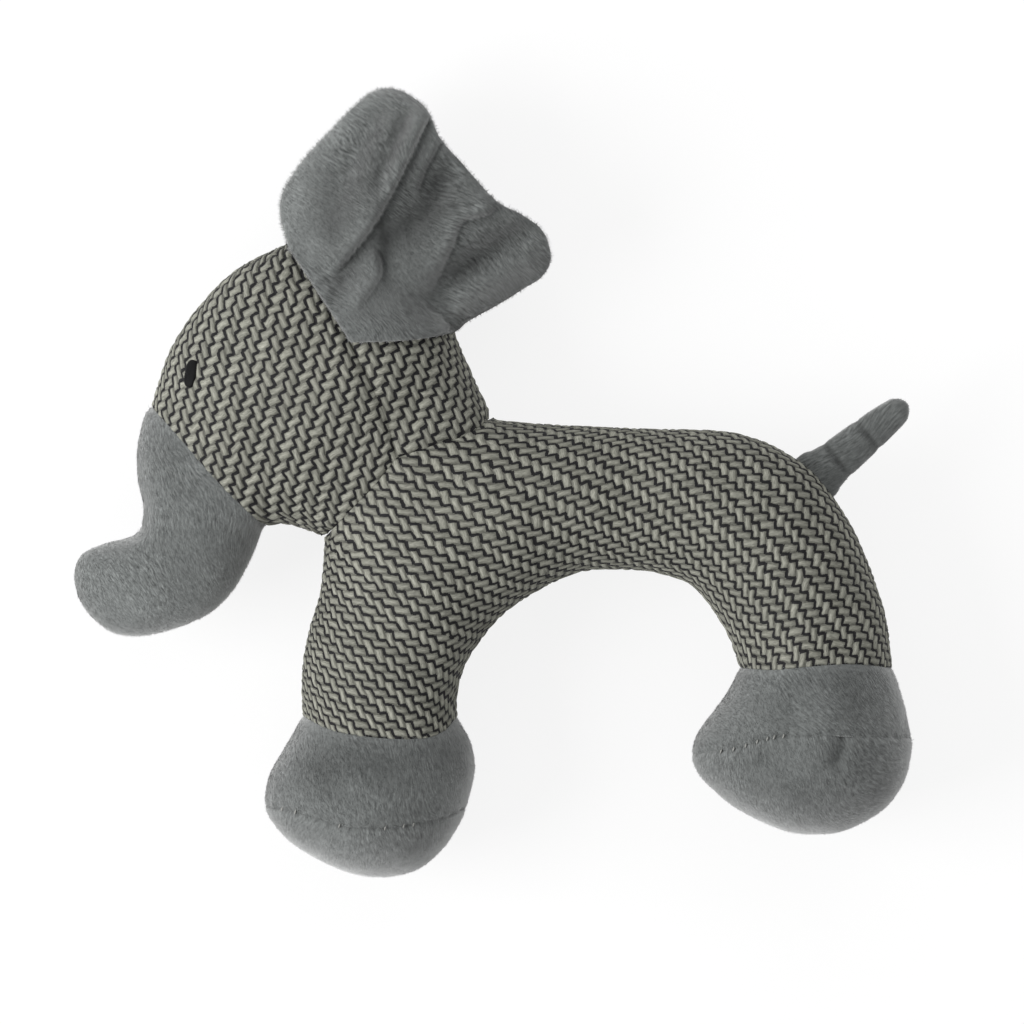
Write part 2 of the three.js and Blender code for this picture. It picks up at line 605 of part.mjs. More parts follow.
const squeakerBase = lathe([
  [plugHole, -endTop],
  [SQUEAKER_RADIUS - BASE_EDGE, -endTop],
  [SQUEAKER_RADIUS, -endTop + BASE_EDGE],
  [SQUEAKER_RADIUS, -endFoot],
  [inner, -endFoot],
  [inner, -endTop + BASE_EDGE + SQUEAKER_WALL / 2],
  [inner - BASE_EDGE * 0.6, -endTop + SQUEAKER_WALL],
  [plugHole, -endTop + SQUEAKER_WALL],
  [plugHole, -endTop],
]);
const squeakerCrown = lathe([
  [0, endTop - SQUEAKER_WALL],
  [inner - CROWN_EDGE * 1.2, endTop - CROWN_EDGE * 0.2 - SQUEAKER_WALL],
  [inner - CROWN_EDGE * 0.24, endTop - CROWN_EDGE * 0.6 - SQUEAKER_WALL],
  [inner, endTop - CROWN_EDGE - SQUEAKER_WALL / 2],
  [inner, endFoot],
  [SQUEAKER_RADIUS, endFoot],
  [SQUEAKER_RADIUS, endTop - CROWN_EDGE],
  [SQUEAKER_RADIUS - CROWN_EDGE * 0.4, endTop - CROWN_EDGE * 0.6],
  [SQUEAKER_RADIUS - CROWN_EDGE * 1.4, endTop - CROWN_EDGE * 0.2],
  [0, endTop],
]);
const pleatEdge = (offset) =>
  Array.from({ length: 2 * PLEAT_COUNT + 1 }, (_, i) => {
    const fold = i % 2 ? PLEAT_DEPTH : 0;
    return [SQUEAKER_RADIUS - fold - offset, -pleatTop + (PLEAT_HEIGHT * i) / (2 * PLEAT_COUNT)];
  });
const pleatOut = pleatEdge(0);
const pleatIn = pleatEdge(SQUEAKER_WALL).reverse();
const squeakerPleats = lathe([...pleatOut, ...pleatIn, pleatOut[0]]);

const plugFoot = -endTop - SEAM_GAP - PLUG_FLANGE;
const upright = (radius, height) => new THREE.CylinderGeometry(radius, radius, height, LATHE_SIDES).rotateX(Math.PI / 2);
const plugTube = upright(PLUG_RADIUS, PLUG_LENGTH).translate(0, 0, plugFoot + PLUG_LENGTH / 2);
const plugFlange = upright(PLUG_FLANGE_RADIUS, PLUG_FLANGE).translate(0, 0, plugFoot + PLUG_FLANGE / 2);
const slotDepth = SEAM_GAP + REED_THICKNESS + REED_SWING;
const slot = new THREE.BoxGeometry(REED_WIDTH + 2 * SEAM_GAP, slotDepth, 4 * PLUG_LENGTH);
const reedPlug = solidOf(plugTube).add(solidOf(plugFlange)).subtract(solidOf(slot));
const reed = new THREE.BoxGeometry(REED_WIDTH, REED_THICKNESS, REED_LENGTH).translate(
  0,
  -slotDepth / 2 + SEAM_GAP + REED_THICKNESS / 2,
  plugFoot + PLUG_FLANGE + REED_LENGTH / 2,
);

// The squeaker's pocket in the body's stuffing
const pocketHeight = endTop - plugFoot + 2 * SEAM_GAP;
const pocket = upright(SQUEAKER_RADIUS + SEAM_GAP, pocketHeight).translate(
  SQUEAKER_X,
  SQUEAKER_Y,
  (endTop + plugFoot) / 2,
);
const bodyStuffing = fill(bodyForm).subtract(solidOf(pocket));

const woven = new THREE.MeshStandardMaterial({ color: 0x8a8b82, roughness: 0.95 });
const plush = new THREE.MeshStandardMaterial({ color: 0x6b6e6c, roughness: 1 });
const fibre = new THREE.MeshStandardMaterial({ color: 0xf2f0ea, roughness: 1 });
const thread = new THREE.MeshStandardMaterial({ color: 0x1a1a1a, roughness: 0.8 });
const bulb = new THREE.MeshStandardMaterial({ color: 0xe9e9e2, roughness: 0.5 });
const reedPlastic = new THREE.MeshStandardMaterial({ color: 0xd8d2b0, roughness: 0.4 });

function piece(name, form, material) {
  const geometry = form.isBufferGeometry ? form : geometryOf(form);
  const mesh = new THREE.Mesh(geometry, material);
  mesh.name = name;
  return mesh;
}

function pair(name, form, material) {
  return [piece(`${name}_near`, nearSide(form), material), piece(`${name}_far`, farSide(form), material)];
}

function mirroredPair(name, form, material) {
  const geometry = geometryOf(form);
  const other = onFloor(solidOf(mirrored(geometry)));
  return [piece(`${name}_near`, geometry, material), piece(`${name}_far`, other, material)];
}

const squeaker = new THREE.Group();
squeaker.name = 'squeaker';
squeaker.position.set(SQUEAKER_X, SQUEAKER_Y, 0);
squeaker.add(
  piece('squeaker_base', squeakerBase, bulb),
  piece('squeaker_pleats', squeakerPleats, bulb),
  piece('squeaker_crown', squeakerCrown, bulb),
  piece('reed_plug', reedPlug, reedPlastic),
  piece('reed', reed, reedPlastic),
);

const toy = new THREE.Group();
toy.name = 'elephant_toy';
toy.position.z = LYING_HEIGHT;
toy.add(
  ...pair('head_front', headFront, woven),
  ...pair('head_back', headBack, woven),
  ...pair('body', bodyCover, woven),
  ...pair('trunk', trunkCover, plush),
  ...pair('front_boot', frontBootPieces.upper, plush),
  ...pair('rear_boot', rearBootPieces.upper, plush),
  piece('front_boot_sole', frontBootPieces.sole, plush),
  piece('rear_boot_sole', rearBootPieces.sole, plush),
  ...mirroredPair('ear_outer', earOuter, plush),
  ...mirroredPair('ear_inner', earInner, plush),
  ...mirroredPair('eye', eye, thread),
  piece('tail', tail, plush),
  piece('head_fill', fill(headForm), fibre),
  piece('trunk_fill', fill(trunkForm), fibre),
  piece('front_boot_fill', fill(frontBootForm), fibre),
  piece('rear_boot_fill', fill(rearBootForm), fibre),
  ...pair('body_fill', bodyStuffing, fibre),
  squeaker,
);

const model = new THREE.Group();
model.add(toy);
export default model;
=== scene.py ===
"""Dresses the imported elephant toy: woven and plush covers over stuffing, sewn panel by panel.

The two sides of the toy are one flat outline blown up like a cushion. Its height over the middle
plane is worked out once, and each panel is a patch of that skin between its own seams.
Lengths are millimetres in the sums and metres in the meshes.
"""

import bmesh
import bpy
import numpy as np
from bpy.props import FloatProperty, FloatVectorProperty, PointerProperty
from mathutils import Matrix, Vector


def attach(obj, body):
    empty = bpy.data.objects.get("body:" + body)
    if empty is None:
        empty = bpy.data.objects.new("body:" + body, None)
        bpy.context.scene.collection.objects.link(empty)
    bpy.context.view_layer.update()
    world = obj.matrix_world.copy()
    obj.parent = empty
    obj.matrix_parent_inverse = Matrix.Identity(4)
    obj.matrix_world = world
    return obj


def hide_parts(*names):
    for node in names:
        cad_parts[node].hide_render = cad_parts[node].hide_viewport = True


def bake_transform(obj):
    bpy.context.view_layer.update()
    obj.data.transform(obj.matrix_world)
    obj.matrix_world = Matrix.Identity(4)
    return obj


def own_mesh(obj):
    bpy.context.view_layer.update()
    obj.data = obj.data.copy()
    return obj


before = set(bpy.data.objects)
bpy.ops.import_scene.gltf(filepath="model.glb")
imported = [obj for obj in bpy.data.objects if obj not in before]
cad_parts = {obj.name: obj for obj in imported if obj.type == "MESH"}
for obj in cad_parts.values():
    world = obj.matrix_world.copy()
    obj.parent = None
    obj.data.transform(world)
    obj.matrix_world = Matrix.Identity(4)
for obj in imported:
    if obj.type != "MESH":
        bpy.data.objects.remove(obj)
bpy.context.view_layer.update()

bl_info = {
    "name": "Plush elephant toy",
    "version": (1, 0, 0),
    "blender": (4, 5, 0),
    "location": "View3D > Sidebar > Toy",
    "description": "Sews a stuffed elephant from woven and plush panels",
    "category": "Add Mesh",
}

MM = 0.001
MIDDLE = 35.5  # height of the toy's middle plane over the floor
SIDES = {"near": 1, "far": -1}

# The toy's outline in the middle plane, in order round it, each stretch from one seam to the next.
OUTLINE = {
    "face": [(-67.5, 80), (-85.5, 71), (-98.8, 57.7), (-107.5, 44.3), (-112.2, 31), (-113.8, 25.5)],
    "trunk_front": [
        (-113.8, 25.5), (-116, 22.5), (-118.4, 12), (-118.2, 1), (-116.3, -8), (-118.5, -16.7),
        (-129.2, -20), (-137, -23.7), (-139.5, -31),
    ],
    "trunk_back": [
        (-139.5, -31), (-136.5, -41), (-128.2, -49), (-119, -51), (-107.8, -49), (-95, -43.7),
        (-86.5, -35.7), (-80.5, -25), (-76.8, -15.7), (-75.4, -14.3),
    ],
    "chin": [(-75.4, -14.3), (-69.2, -13.7), (-61.8, -15.7), (-55.9, -18.2)],
    "foreleg": [(-55.9, -18.2), (-57.4, -35.7), (-61.2, -49), (-63.5, -62.3), (-63.4, -77.5)],
    "front_toe": [(-63.4, -77.5), (-65.4, -81.5), (-69.9, -89.2), (-74.6, -98), (-75.6, -107.8)],
    "front_sole_rim": [
        (-75.6, -107.8), (-71.2, -115.4), (-63.9, -121.9), (-50.5, -128.8), (-38.2, -131.3),
        (-25.8, -129), (-17.2, -122.3), (-12.5, -115.7), (-9, -108.5),
    ],
    "front_heel": [(-9, -108.5), (-6.2, -97), (-6.2, -91.5), (-7.6, -85.7), (-10.2, -80.7), (-11.6, -78)],
    "belly": [
        (-11.6, -78), (-11.8, -73.5), (-10.8, -65.7), (-6.2, -55.7), (5.9, -41.9), (27.3, -30.3),
        (45.8, -29), (57.5, -30.7), (67.6, -35.3), (77.4, -48.8), (82.4, -61.5),
    ],
    "rear_toe": [(82.4, -61.5), (78.7, -69), (74, -75.6), (68.4, -83.2), (66.5, -90.2)],
    "rear_sole_rim": [
        (66.5, -90.2), (68.8, -96.8), (73.8, -102.1), (82.2, -108.8), (96.8, -115.6), (107.5, -116.9),
        (117.5, -115.6), (129.8, -109), (137, -99.5), (139.5, -89), (139.3, -84.7),
    ],
    "rear_heel": [(139.3, -84.7), (137.6, -75.7), (135.7, -69), (133.3, -61.6)],
    "back": [
        (133.3, -61.6), (130.5, -42.2), (121.2, -17.2), (109, 1.5), (99.2, 9.3), (89.2, 14.3),
        (75.8, 17.4), (49.2, 18.2), (22.5, 19.4), (3.2, 20.8), (0.1, 22.2),
    ],
    "nape": [
        (0.1, 22.2), (-4.3, 31), (-10.2, 44.3), (-17.5, 61), (-27.5, 73.7), (-40.8, 82.3),
        (-54.2, 83.7), (-67.5, 80),
    ],
}

# Seams across each side, as they lie in the same view.
SEAMS = {
    "side": [(-67.5, 80), (-55.2, 65), (-46.5, 45.7), (-35.5, 23), (-31.8, 8.3)],
    "neck_front": [(-55.9, -18.2), (-46.5, -8.3), (-40.2, -2), (-31.8, 8.3)],
    "neck_back": [(-31.8, 8.3), (-20, 12.5), (-9.5, 16), (0.1, 22.2)],
    "trunk": [(-113.8, 25.5), (-102.5, 13), (-94.8, 4), (-87.5, -3.7), (-78.8, -12), (-75.4, -14.3)],
    "front_ankle": [
        (-63.4, -77.5), (-53.6, -82), (-40.8, -84.2), (-24.6, -84.9), (-16.2, -82.6), (-11.6, -78),
    ],
    "rear_ankle": [(82.4, -61.5), (93.4, -62), (105, -60.9), (116.3, -60.1), (126.5, -60.6), (133.3, -61.6)],
    "front_sole": [
        (-75.6, -107.8), (-65.5, -109.3), (-50, -114), (-36.2, -114.6), (-18.2, -111.9), (-9, -108.5),
    ],
    "rear_sole": [(66.5, -90.2), (79.5, -88.5), (93.2, -84.4), (109.8, -83.7), (139.3, -84.7)],
}
STRETCHES = {**OUTLINE, **SEAMS}

# Stretches that start at a corner of the outline. The others go on smoothly from the one before.
CORNERS = ("chin", "foreleg", "front_toe", "belly", "rear_toe", "back", "nape")
WOVEN_SEAMS, SOLE_SEAMS = ("side", "neck_front", "neck_back"), ("front_sole", "rear_sole")

# How thick the stuffing makes each side at its fullest places: x, y, height over the middle plane.
FULLNESS = [
    (-62, 33, 33.5), (-80, 48, 30), (-50, 58, 31), (-90, 12, 25), (-95, 5, 24), (-101, -20, 18),
    (-126, -34, 14.6), (-28, 4, 27), (-9, -15, 30), (-30, -46, 28), (-37, -80, 25.5), (-41, -104, 36),
    (17.5, -4.5, 28.2), (44, -5.5, 24.5), (69, -7, 26), (86, -15, 27.5), (99, -33, 26.7),
    (107, -60, 25.5), (103, -89, 36),
]
FULLNESS_SPREAD = 16

SPAN_POINTS = 24  # points worked out in each span of a curve
MEASURE_POINTS = 200  # points of a line whose length is measured
FINE_POINTS = 400  # points of a line that others are placed on or measured from


class ToyCloth(bpy.types.PropertyGroup):
    """Sizes and colours of the cloth."""

    woven_step: FloatProperty(
        name="Woven step", description="Distance between the points of a woven panel",
        default=0.00062, unit="LENGTH",
    )
    plush_step: FloatProperty(
        name="Plush step", description="Distance between the points of a plush panel",
        default=0.0011, unit="LENGTH",
    )
    yarn_relief: FloatProperty(
        name="Yarn relief", description="How far the yarns stand out of the woven cloth",
        default=0.0004, unit="LENGTH",
    )
    yarn_share: FloatProperty(
        name="Yarn share", description="Share of its place in the weave that a yarn fills",
        default=0.8, min=0.3, max=0.95, subtype="FACTOR",
    )
    seam_tuck: FloatProperty(
        name="Seam tuck", description="Depth of the groove at a seam across a side",
        default=0.0016, unit="LENGTH",
    )
    outline_tuck: FloatProperty(
        name="Outline tuck", description="Depth of the groove where the two sides are sewn together",
        default=0.0006, unit="LENGTH",
    )
    plush_tuck: FloatProperty(
        name="Plush tuck", description="Depth of the groove at a plush panel's seams",
        default=0.0005, unit="LENGTH",
    )
    pile_length: FloatProperty(
        name="Pile length", description="Length of the plush fibres", default=0.0017, unit="LENGTH",
    )
    pile_density: FloatProperty(
        name="Pile density", description="Fibres on a square millimetre of plush", default=3.5,
    )
    ear_step: FloatProperty(
        name="Ear step", description="Distance between the points of an ear's layers",
        default=0.0009, unit="LENGTH",
    )
    ear_rim: FloatProperty(
        name="Ear rim", description="Thickness of an ear's rolled rim", default=0.0042, unit="LENGTH",
    )
    yarn: FloatVectorProperty(
        name="Yarn", description="Colour of the woven cloth's yarns", subtype="COLOR", size=4,
        default=(0.216, 0.216, 0.183, 1),
    )
    # Colour of the gaps between chains: partly a thin dark yarn, partly painted shade between the chains.
    gap_yarn_and_shade: FloatVectorProperty(
        name="Yarn gap", description="Colour of the dark gaps between chains of yarns",
        subtype="COLOR", size=4, default=(0.011, 0.0105, 0.012, 1),
    )
    plush: FloatVectorProperty(
        name="Plush", description="Colour of the pile", subtype="COLOR", size=4,
        default=(0.128, 0.1355, 0.1325, 1),
    )
    stuffing: FloatVectorProperty(
        name="Stuffing", description="Colour of the fibre fill", subtype="COLOR", size=4,
        default=(0.75, 0.75, 0.72, 1),
    )
    squeaker: FloatVectorProperty(
        name="Squeaker", description="Colour of the squeaker's soft plastic", subtype="COLOR", size=4,
        default=(0.62, 0.64, 0.62, 1),
    )
    stitches: FloatVectorProperty(
        name="Stitches", description="Colour of the soles' hand stitches", subtype="COLOR", size=4,
        default=(0.27, 0.27, 0.255, 1),
    )
    eye_thread: FloatVectorProperty(
        name="Eye thread", description="Colour of the eyes' stitching", subtype="COLOR", size=4,
        default=(0.003, 0.003, 0.0034, 1),
    )


def unit(vectors):
    """Each vector divided by its own length."""
    return vectors / np.maximum(np.linalg.norm(vectors, axis=-1, keepdims=True), 1e-9)


def run_along(points):
    """Length along a line of points, from its start to each point."""
    steps = np.linalg.norm(np.diff(points, axis=0), axis=-1)
    return np.concatenate([np.zeros((1, *steps.shape[1:])), np.cumsum(steps, axis=0)])


def run_across(points):
    """Length along each row of a grid, from its start to each point."""
    return run_along(points.swapaxes(0, 1)).swapaxes(0, 1)


def at_height(xy, height):
    """Places of the view from above, at the given heights."""
    return np.concatenate([xy, height[..., None]], -1)


def over_floor(points, least=0):
    """The points, with those under the least height lifted to it."""
    return at_height(points[..., :2], np.maximum(points[..., 2], least))


def resampled(line, fractions):
    """The line at fractions of its length."""
    run = run_along(line)
    at = np.asarray(fractions) * run[-1]
    return np.stack([np.interp(at, run, line[:, k]) for k in range(line.shape[1])], axis=-1)


def curve(points, count, before=None, after=None):
    """Smooth line through the points, at count places evenly spaced by length.

    Each span is the cubic that passes its two points along the lines between their neighbours, which
    may be points before the first and after the last.
    """
    p = np.asarray(points, float)
    before = 2 * p[0] - p[1] if before is None else before
    after = 2 * p[-1] - p[-2] if after is None else after
    around = np.vstack([before, p, after])
    a, b, c, d = around[:-3], around[1:-2], around[2:-1], around[3:]
    u = np.linspace(0, 1, SPAN_POINTS, endpoint=False)[:, None, None]
    bend = (2 * a - 5 * b + 4 * c - d) * u**2 + (3 * b - a - 3 * c + d) * u**3
    spans = b + 0.5 * ((c - a) * u + bend)
    line = np.vstack([spans.transpose(1, 0, 2).reshape(-1, p.shape[1]), p[-1:]])
    return resampled(line, np.linspace(0, 1, count))


def stretch(name, count):
    """A named stretch of the outline or a seam, as a smooth line; a leading minus turns it round.

    The outline goes smoothly from one stretch into the next, but for the corners.
    """
    plain, before, after = name.lstrip("-"), None, None
    if plain in OUTLINE:
        order = list(OUTLINE)
        at = order.index(plain)
        following = order[(at + 1) % len(order)]
        before = None if plain in CORNERS else OUTLINE[order[at - 1]][-2]
        after = None if following in CORNERS else OUTLINE[following][1]
    line = curve(STRETCHES[plain], count, before, after)
    return line[::-1] if name.startswith("-") else line


def stretch_length(name):
    """Length of a named stretch."""
    return run_along(stretch(name, MEASURE_POINTS))[-1]


def rail(names, step):
    """One line through the named stretches, with points at about the given step."""
    lines = [stretch(name, max(2, round(stretch_length(name) / step) + 1)) for name in names]
    return np.vstack([lines[0]] + [line[1:] for line in lines[1:]])


class Skin:
    """Height of the blown-up outline over the middle plane.

    A membrane held along the outline and pushed up evenly rises to phi, where the sum of phi's second
    derivatives is -1. A strip's membrane is a parabola, so the root of twice phi is a round section.
    """

    STEP = 0.5
    MARGIN = 8  # room beside the outline
    LOOP_STEP = 0.1  # distance between the outline's points
    ROUNDS = {16: 400, 8: 400, 4: 400, 2: 220, 1: 220}  # rounds on each grid, by its step over the finest
    BAND = 10  # how many steps from the outline its distance is known
    RIM = 2  # up to this distance from the outline the straight slope holds, and to twice it in part
    SLOPE_END = 4.5  # distance up to which that slope is measured
    BLUR = 2.0  # how far it is averaged

    def __init__(self):
        counts = {name: round(stretch_length(name) / self.LOOP_STEP) for name in OUTLINE}
        loop = np.vstack([stretch(name, count)[:-1] for name, count in counts.items()])
        self.low = loop.min(0) - self.MARGIN
        self.coarsest = max(self.ROUNDS)
        span = (loop.max(0) + self.MARGIN - self.low) / self.STEP
        inside = self.fill(loop, np.ceil(span / self.coarsest).astype(int) * self.coarsest)
        self.square = self.edge_trued(self.membrane(inside), inside, loop)
        places = np.array(FULLNESS)
        self.places = places[:, :2]
        self.ratio = places[:, 2] / np.sqrt(np.maximum(self.sample(self.places), 1))

    def fill(self, loop, shape):
        """True for the places of a grid inside the loop, by counting crossings along each row."""
        inside = np.zeros(shape, bool)
        ahead = np.roll(loop, -1, axis=0)
        columns = self.low[0] + np.arange(shape[0]) * self.STEP
        for row in range(shape[1]):
            y = self.low[1] + row * self.STEP
            cross = (loop[:, 1] > y) != (ahead[:, 1] > y)
            p, q = loop[cross], ahead[cross]
            x = np.sort(p[:, 0] + (y - p[:, 1]) / (q[:, 1] - p[:, 1]) * (q[:, 0] - p[:, 0]))
            inside[:, row] = np.searchsorted(x, columns) % 2 == 1
        return inside

    def membrane(self, inside):
        """Solves the membrane on coarse to fine grids: each place goes to the mean of its four
        neighbours plus a quarter of the squared step."""
        phi = np.zeros(np.array(inside.shape) // self.coarsest)
        for level, rounds in self.ROUNDS.items():
            if level != self.coarsest:
                phi = phi.repeat(2, 0).repeat(2, 1)
            held = inside[::level, ::level]
            push = (level * self.STEP) ** 2
            for _ in range(rounds):
                mean = phi[:-2, 1:-1] + phi[2:, 1:-1] + phi[1:-1, :-2] + phi[1:-1, 2:]
                phi[1:-1, 1:-1] = np.where(held[1:-1, 1:-1], (mean + push) / 4, 0)
        return phi

    def edge_trued(self, phi, inside, loop):
        """Twice the membrane, but close to the outline its slope times the true distance to it."""
        reach = np.arange(-self.BAND, self.BAND + 1)
        cell = np.rint((loop - self.low) / self.STEP).astype(int)
        i = cell[:, 0, None, None] + reach[:, None] + 0 * reach
        j = cell[:, 1, None, None] + reach + 0 * reach[:, None]
        away = np.hypot(
            self.low[0] + i * self.STEP - loop[:, 0, None, None],
            self.low[1] + j * self.STEP - loop[:, 1, None, None],
        )
        distance = np.full(inside.shape, self.BAND * self.STEP)
        np.minimum.at(distance, (i, j), away)
        known = inside & (distance > self.RIM) & (distance < self.SLOPE_END)
        slope = np.where(known, phi / np.maximum(distance, self.LOOP_STEP), 0)
        spread = self.blur(slope) / np.maximum(self.blur(known.astype(float)), 1e-4)
        signed = np.where(inside, distance, -distance)
        share = np.clip((signed - self.RIM) / self.RIM, 0, 1)
        return 2 * ((1 - share) * spread * np.clip(signed, -2 * self.RIM, 2 * self.RIM) + share * phi)

    def blur(self, field):
        """The field averaged with a bell curve."""
        kx = np.fft.fftfreq(field.shape[0], self.STEP)[:, None]
        ky = np.fft.rfftfreq(field.shape[1], self.STEP)[None]
        bell = np.exp(-2 * (np.pi * self.BLUR) ** 2 * (kx**2 + ky**2))
        return np.fft.irfft2(np.fft.rfft2(field) * bell, field.shape)

    def sample(self, xy):
        """The squared flat height at the places, from the grid's four nearest."""
        at = (xy - self.low) / self.STEP
        i = np.clip(np.floor(at).astype(int), 0, np.array(self.square.shape) - 2)
        (a, b), (u, v) = np.moveaxis(i, -1, 0), np.moveaxis(at - i, -1, 0)
        near = self.square[a, b] * (1 - u) + self.square[a + 1, b] * u
        far = self.square[a, b + 1] * (1 - u) + self.square[a + 1, b + 1] * u
        return near * (1 - v) + far * v

    def height(self, xy):
        """The root of the sampled square, stretched to the named fullness of the places nearby."""
        apart = ((xy[..., None, :] - self.places) ** 2).sum(-1)
        weight = np.exp(-apart / (2 * FULLNESS_SPREAD**2)) + 1e-9
        ratio = (weight * self.ratio).sum(-1) / weight.sum(-1)
        return ratio * np.sqrt(np.maximum(self.sample(xy), 0))


SKIN = Skin()
DENT_SEEDS = {1: 11, -1: 12}  # each side's stuffing is uneven in its own way
DENT_DEPTH, DENT_SIZE = 0.5, 24
DENT_FULL = 12  # height of the skin from which the bumps are at their full depth


def side_height(xy, sign):
    """Height of one side's skin: the blown-up outline with the stuffing's soft bumps, none at its edge."""
    rise = SKIN.height(xy)
    return rise + np.minimum(1, rise / DENT_FULL) * DENT_DEPTH * waves(xy, DENT_SIZE, DENT_SEEDS[sign])


WAVE_COUNT = 9
WAVE_SIZES = (0.7, 1.6)  # shares of the asked size between which the waves' lengths are drawn
WAVE_SUM = 4  # what the sum of the waves is divided by


def waves(xy, size, seed):
    """Smooth uneven field between about -1 and 1: a sum of crossing waves about that long."""
    draw = np.random.default_rng(seed)
    turn = draw.uniform(0, 2 * np.pi, WAVE_COUNT)
    pitch = size * draw.uniform(*WAVE_SIZES, WAVE_COUNT)
    phase = draw.uniform(0, 2 * np.pi, WAVE_COUNT)
    along = xy[..., :1] * np.cos(turn) + xy[..., 1:2] * np.sin(turn)
    return np.sin(2 * np.pi * along / pitch + phase).sum(-1) / WAVE_SUM


def turn_between(a, b):
    """How far one flat direction turns to the left from another: the area that they span."""
    return a[..., 0] * b[..., 1] - a[..., 1] * b[..., 0]


def from_line(xy, points, count=120):
    """Distance of places from a smooth line, positive on its left, and how far along it they lie."""
    line = curve(points, count)
    way = unit(np.gradient(line, axis=0))
    apart = xy[..., None, :] - line
    nearest = (apart**2).sum(-1).argmin(-1)
    gap = np.take_along_axis(apart, nearest[..., None, None], -2)[..., 0, :]
    ahead = way[nearest]
    side = turn_between(ahead, gap)
    past = np.clip((ahead * gap).sum(-1) / np.linalg.norm(line[1] - line[0]), -0.5, 0.5)
    return np.sign(side) * np.linalg.norm(gap, axis=-1), np.clip((nearest + past) / (count - 1), 0, 1)


def patch(left, right, start, end, across, along=None):
    """Places of a patch between four lines: both ruled patches added, less the one through the corners.

    Across and along are the shares of the way where its points lie; along is even if it isn't given.
    """
    s = (np.linspace(0, 1, len(left)) if along is None else along)[:, None, None]
    t = np.asarray(across)[None, :, None]
    ruled = (1 - t) * left[:, None] + t * right[:, None] + (1 - s) * start[None] + s * end[None]
    corners = (1 - s) * ((1 - t) * left[0] + t * right[0]) + s * ((1 - t) * left[-1] + t * right[-1])
    return ruled - corners


def round_steps(edges, count):
    """Even steps round a section, as fractions of its width: eased at each end that is an outline."""
    u = np.linspace(0, 1, count)
    spacing = {
        "both": (1 - np.cos(np.pi * u)) / 2,
        "left": 1 - np.cos(np.pi / 2 * u),
        "right": np.sin(np.pi / 2 * u),
    }
    return spacing[edges]


def facing(points):
    """Direction square to a grid's two ways at each point.

    A row that is drawn to one point takes the mean of the next row's.
    """
    square = np.cross(np.gradient(points, axis=0), np.gradient(points, axis=1))
    for end, inner in ((0, 1), (-1, -2)):
        if np.ptp(points[end], axis=0).max() < 1e-6:
            square[end] = square[inner].mean(0)
    return unit(square)


def outward_facing(points, out):
    """Directions square to a grid on the side that out points to, and 1 or -1 for how its faces turn."""
    normal = facing(points)
    turn = np.sign((normal * out).sum(-1).mean())
    return normal * turn, turn


# Panels of a side: the two lines they run between, the lines at their ends and the outlines among them.
PANELS = {
    "body": dict(
        left=("-foreleg", "neck_front", "neck_back", "-back"), right=("belly",),
        start="front_ankle", end="-rear_ankle", edges="both",
    ),
    "head_front": dict(
        left=("face", "trunk", "chin"), right=("side",), start=None, end="neck_front", edges="left",
    ),
    "head_back": dict(left=("-nape",), right=("side",), start=None, end="-neck_back", edges="left"),
    "trunk": dict(left=("trunk_front",), right=("-trunk_back",), start="trunk", end=None, edges="both"),
    "front_boot": dict(
        left=("front_toe",), right=("-front_heel",), start="front_ankle", end="front_sole", edges="both",
    ),
    "rear_boot": dict(
        left=("rear_toe",), right=("-rear_heel",), start="rear_ankle", end="rear_sole", edges="both",
    ),
    "front_boot_sole": dict(
        left=("front_sole",), right=("front_sole_rim",), start=None, end=None, edges="right",
    ),
    "rear_boot_sole": dict(
        left=("rear_sole",), right=("rear_sole_rim",), start=None, end=None, edges="right",
    ),
}
# How much longer a panel's section is than its width.
WIDENED = {"both": 1.55, "left": 1.3, "right": 1.5}


def panel_places(panel, step):
    """Places of a panel's grid in the middle plane, and the stretch that each end of its rows is on."""
    rails, stretches = [], []
    lines = [rail(panel[key], step) for key in ("left", "right")]
    even = np.linspace(0, 1, max(len(line) for line in lines))
    for key, line in zip(("left", "right"), lines):
        ends = np.cumsum([stretch_length(name) for name in panel[key]])
        which = np.minimum(np.searchsorted(ends / ends[-1], even), len(ends) - 1)
        rails.append(resampled(line, even))
        stretches.append(np.array([n.lstrip("-") for n in panel[key]])[which])
    left, right = rails
    width = np.linalg.norm(left - right, axis=1).max()
    across = round_steps(panel["edges"], round(width * WIDENED[panel["edges"]] / step))
    ends = []
    for key, corner in (("start", 0), ("end", -1)):
        if panel[key] is None:
            ends.append((1 - across)[:, None] * left[corner] + across[:, None] * right[corner])
        else:
            ends.append(resampled(stretch(panel[key], FINE_POINTS), across))
    return patch(left, right, *ends, across), stretches


GATHER = 3.6  # distance between the gathers of a sole's seam
GATHER_SHARE = 0.75  # middle and swing of a gather's depth, as a share of the plush's groove
GROOVE_WIDTH, GROOVE_POWER = 0.6, 1.4


def tuck(name, cloth, xy=None):
    """Depth in millimetres of the groove at a stretch of outline or seam.

    The depth at a sole's seam comes and goes in waves.
    """
    if name in OUTLINE:
        return cloth.outline_tuck / MM
    if name in SOLE_SEAMS:
        swing = GATHER_SHARE + GATHER_SHARE * np.sin(2 * np.pi * xy[..., 0] / GATHER)
        return cloth.plush_tuck / MM * swing
    return (cloth.seam_tuck if name in WOVEN_SEAMS else cloth.plush_tuck) / MM


def sewn(points, normal, depths):
    """Points pulled in along the normal at the four borders of a grid.

    A groove fades with the distance from its border, over a width that grows with its depth.
    """
    along, across = run_along(points), run_across(points)
    away = (across, across[:, -1:] - across, along, along[-1:] - along)
    pulls = []
    for gap, depth in zip(away, depths):
        if depth is not None:
            pulls.append(depth * np.exp(-((gap / (GROOVE_WIDTH + depth)) ** GROOVE_POWER)))
    return points - normal * np.max(pulls, axis=0)[..., None]


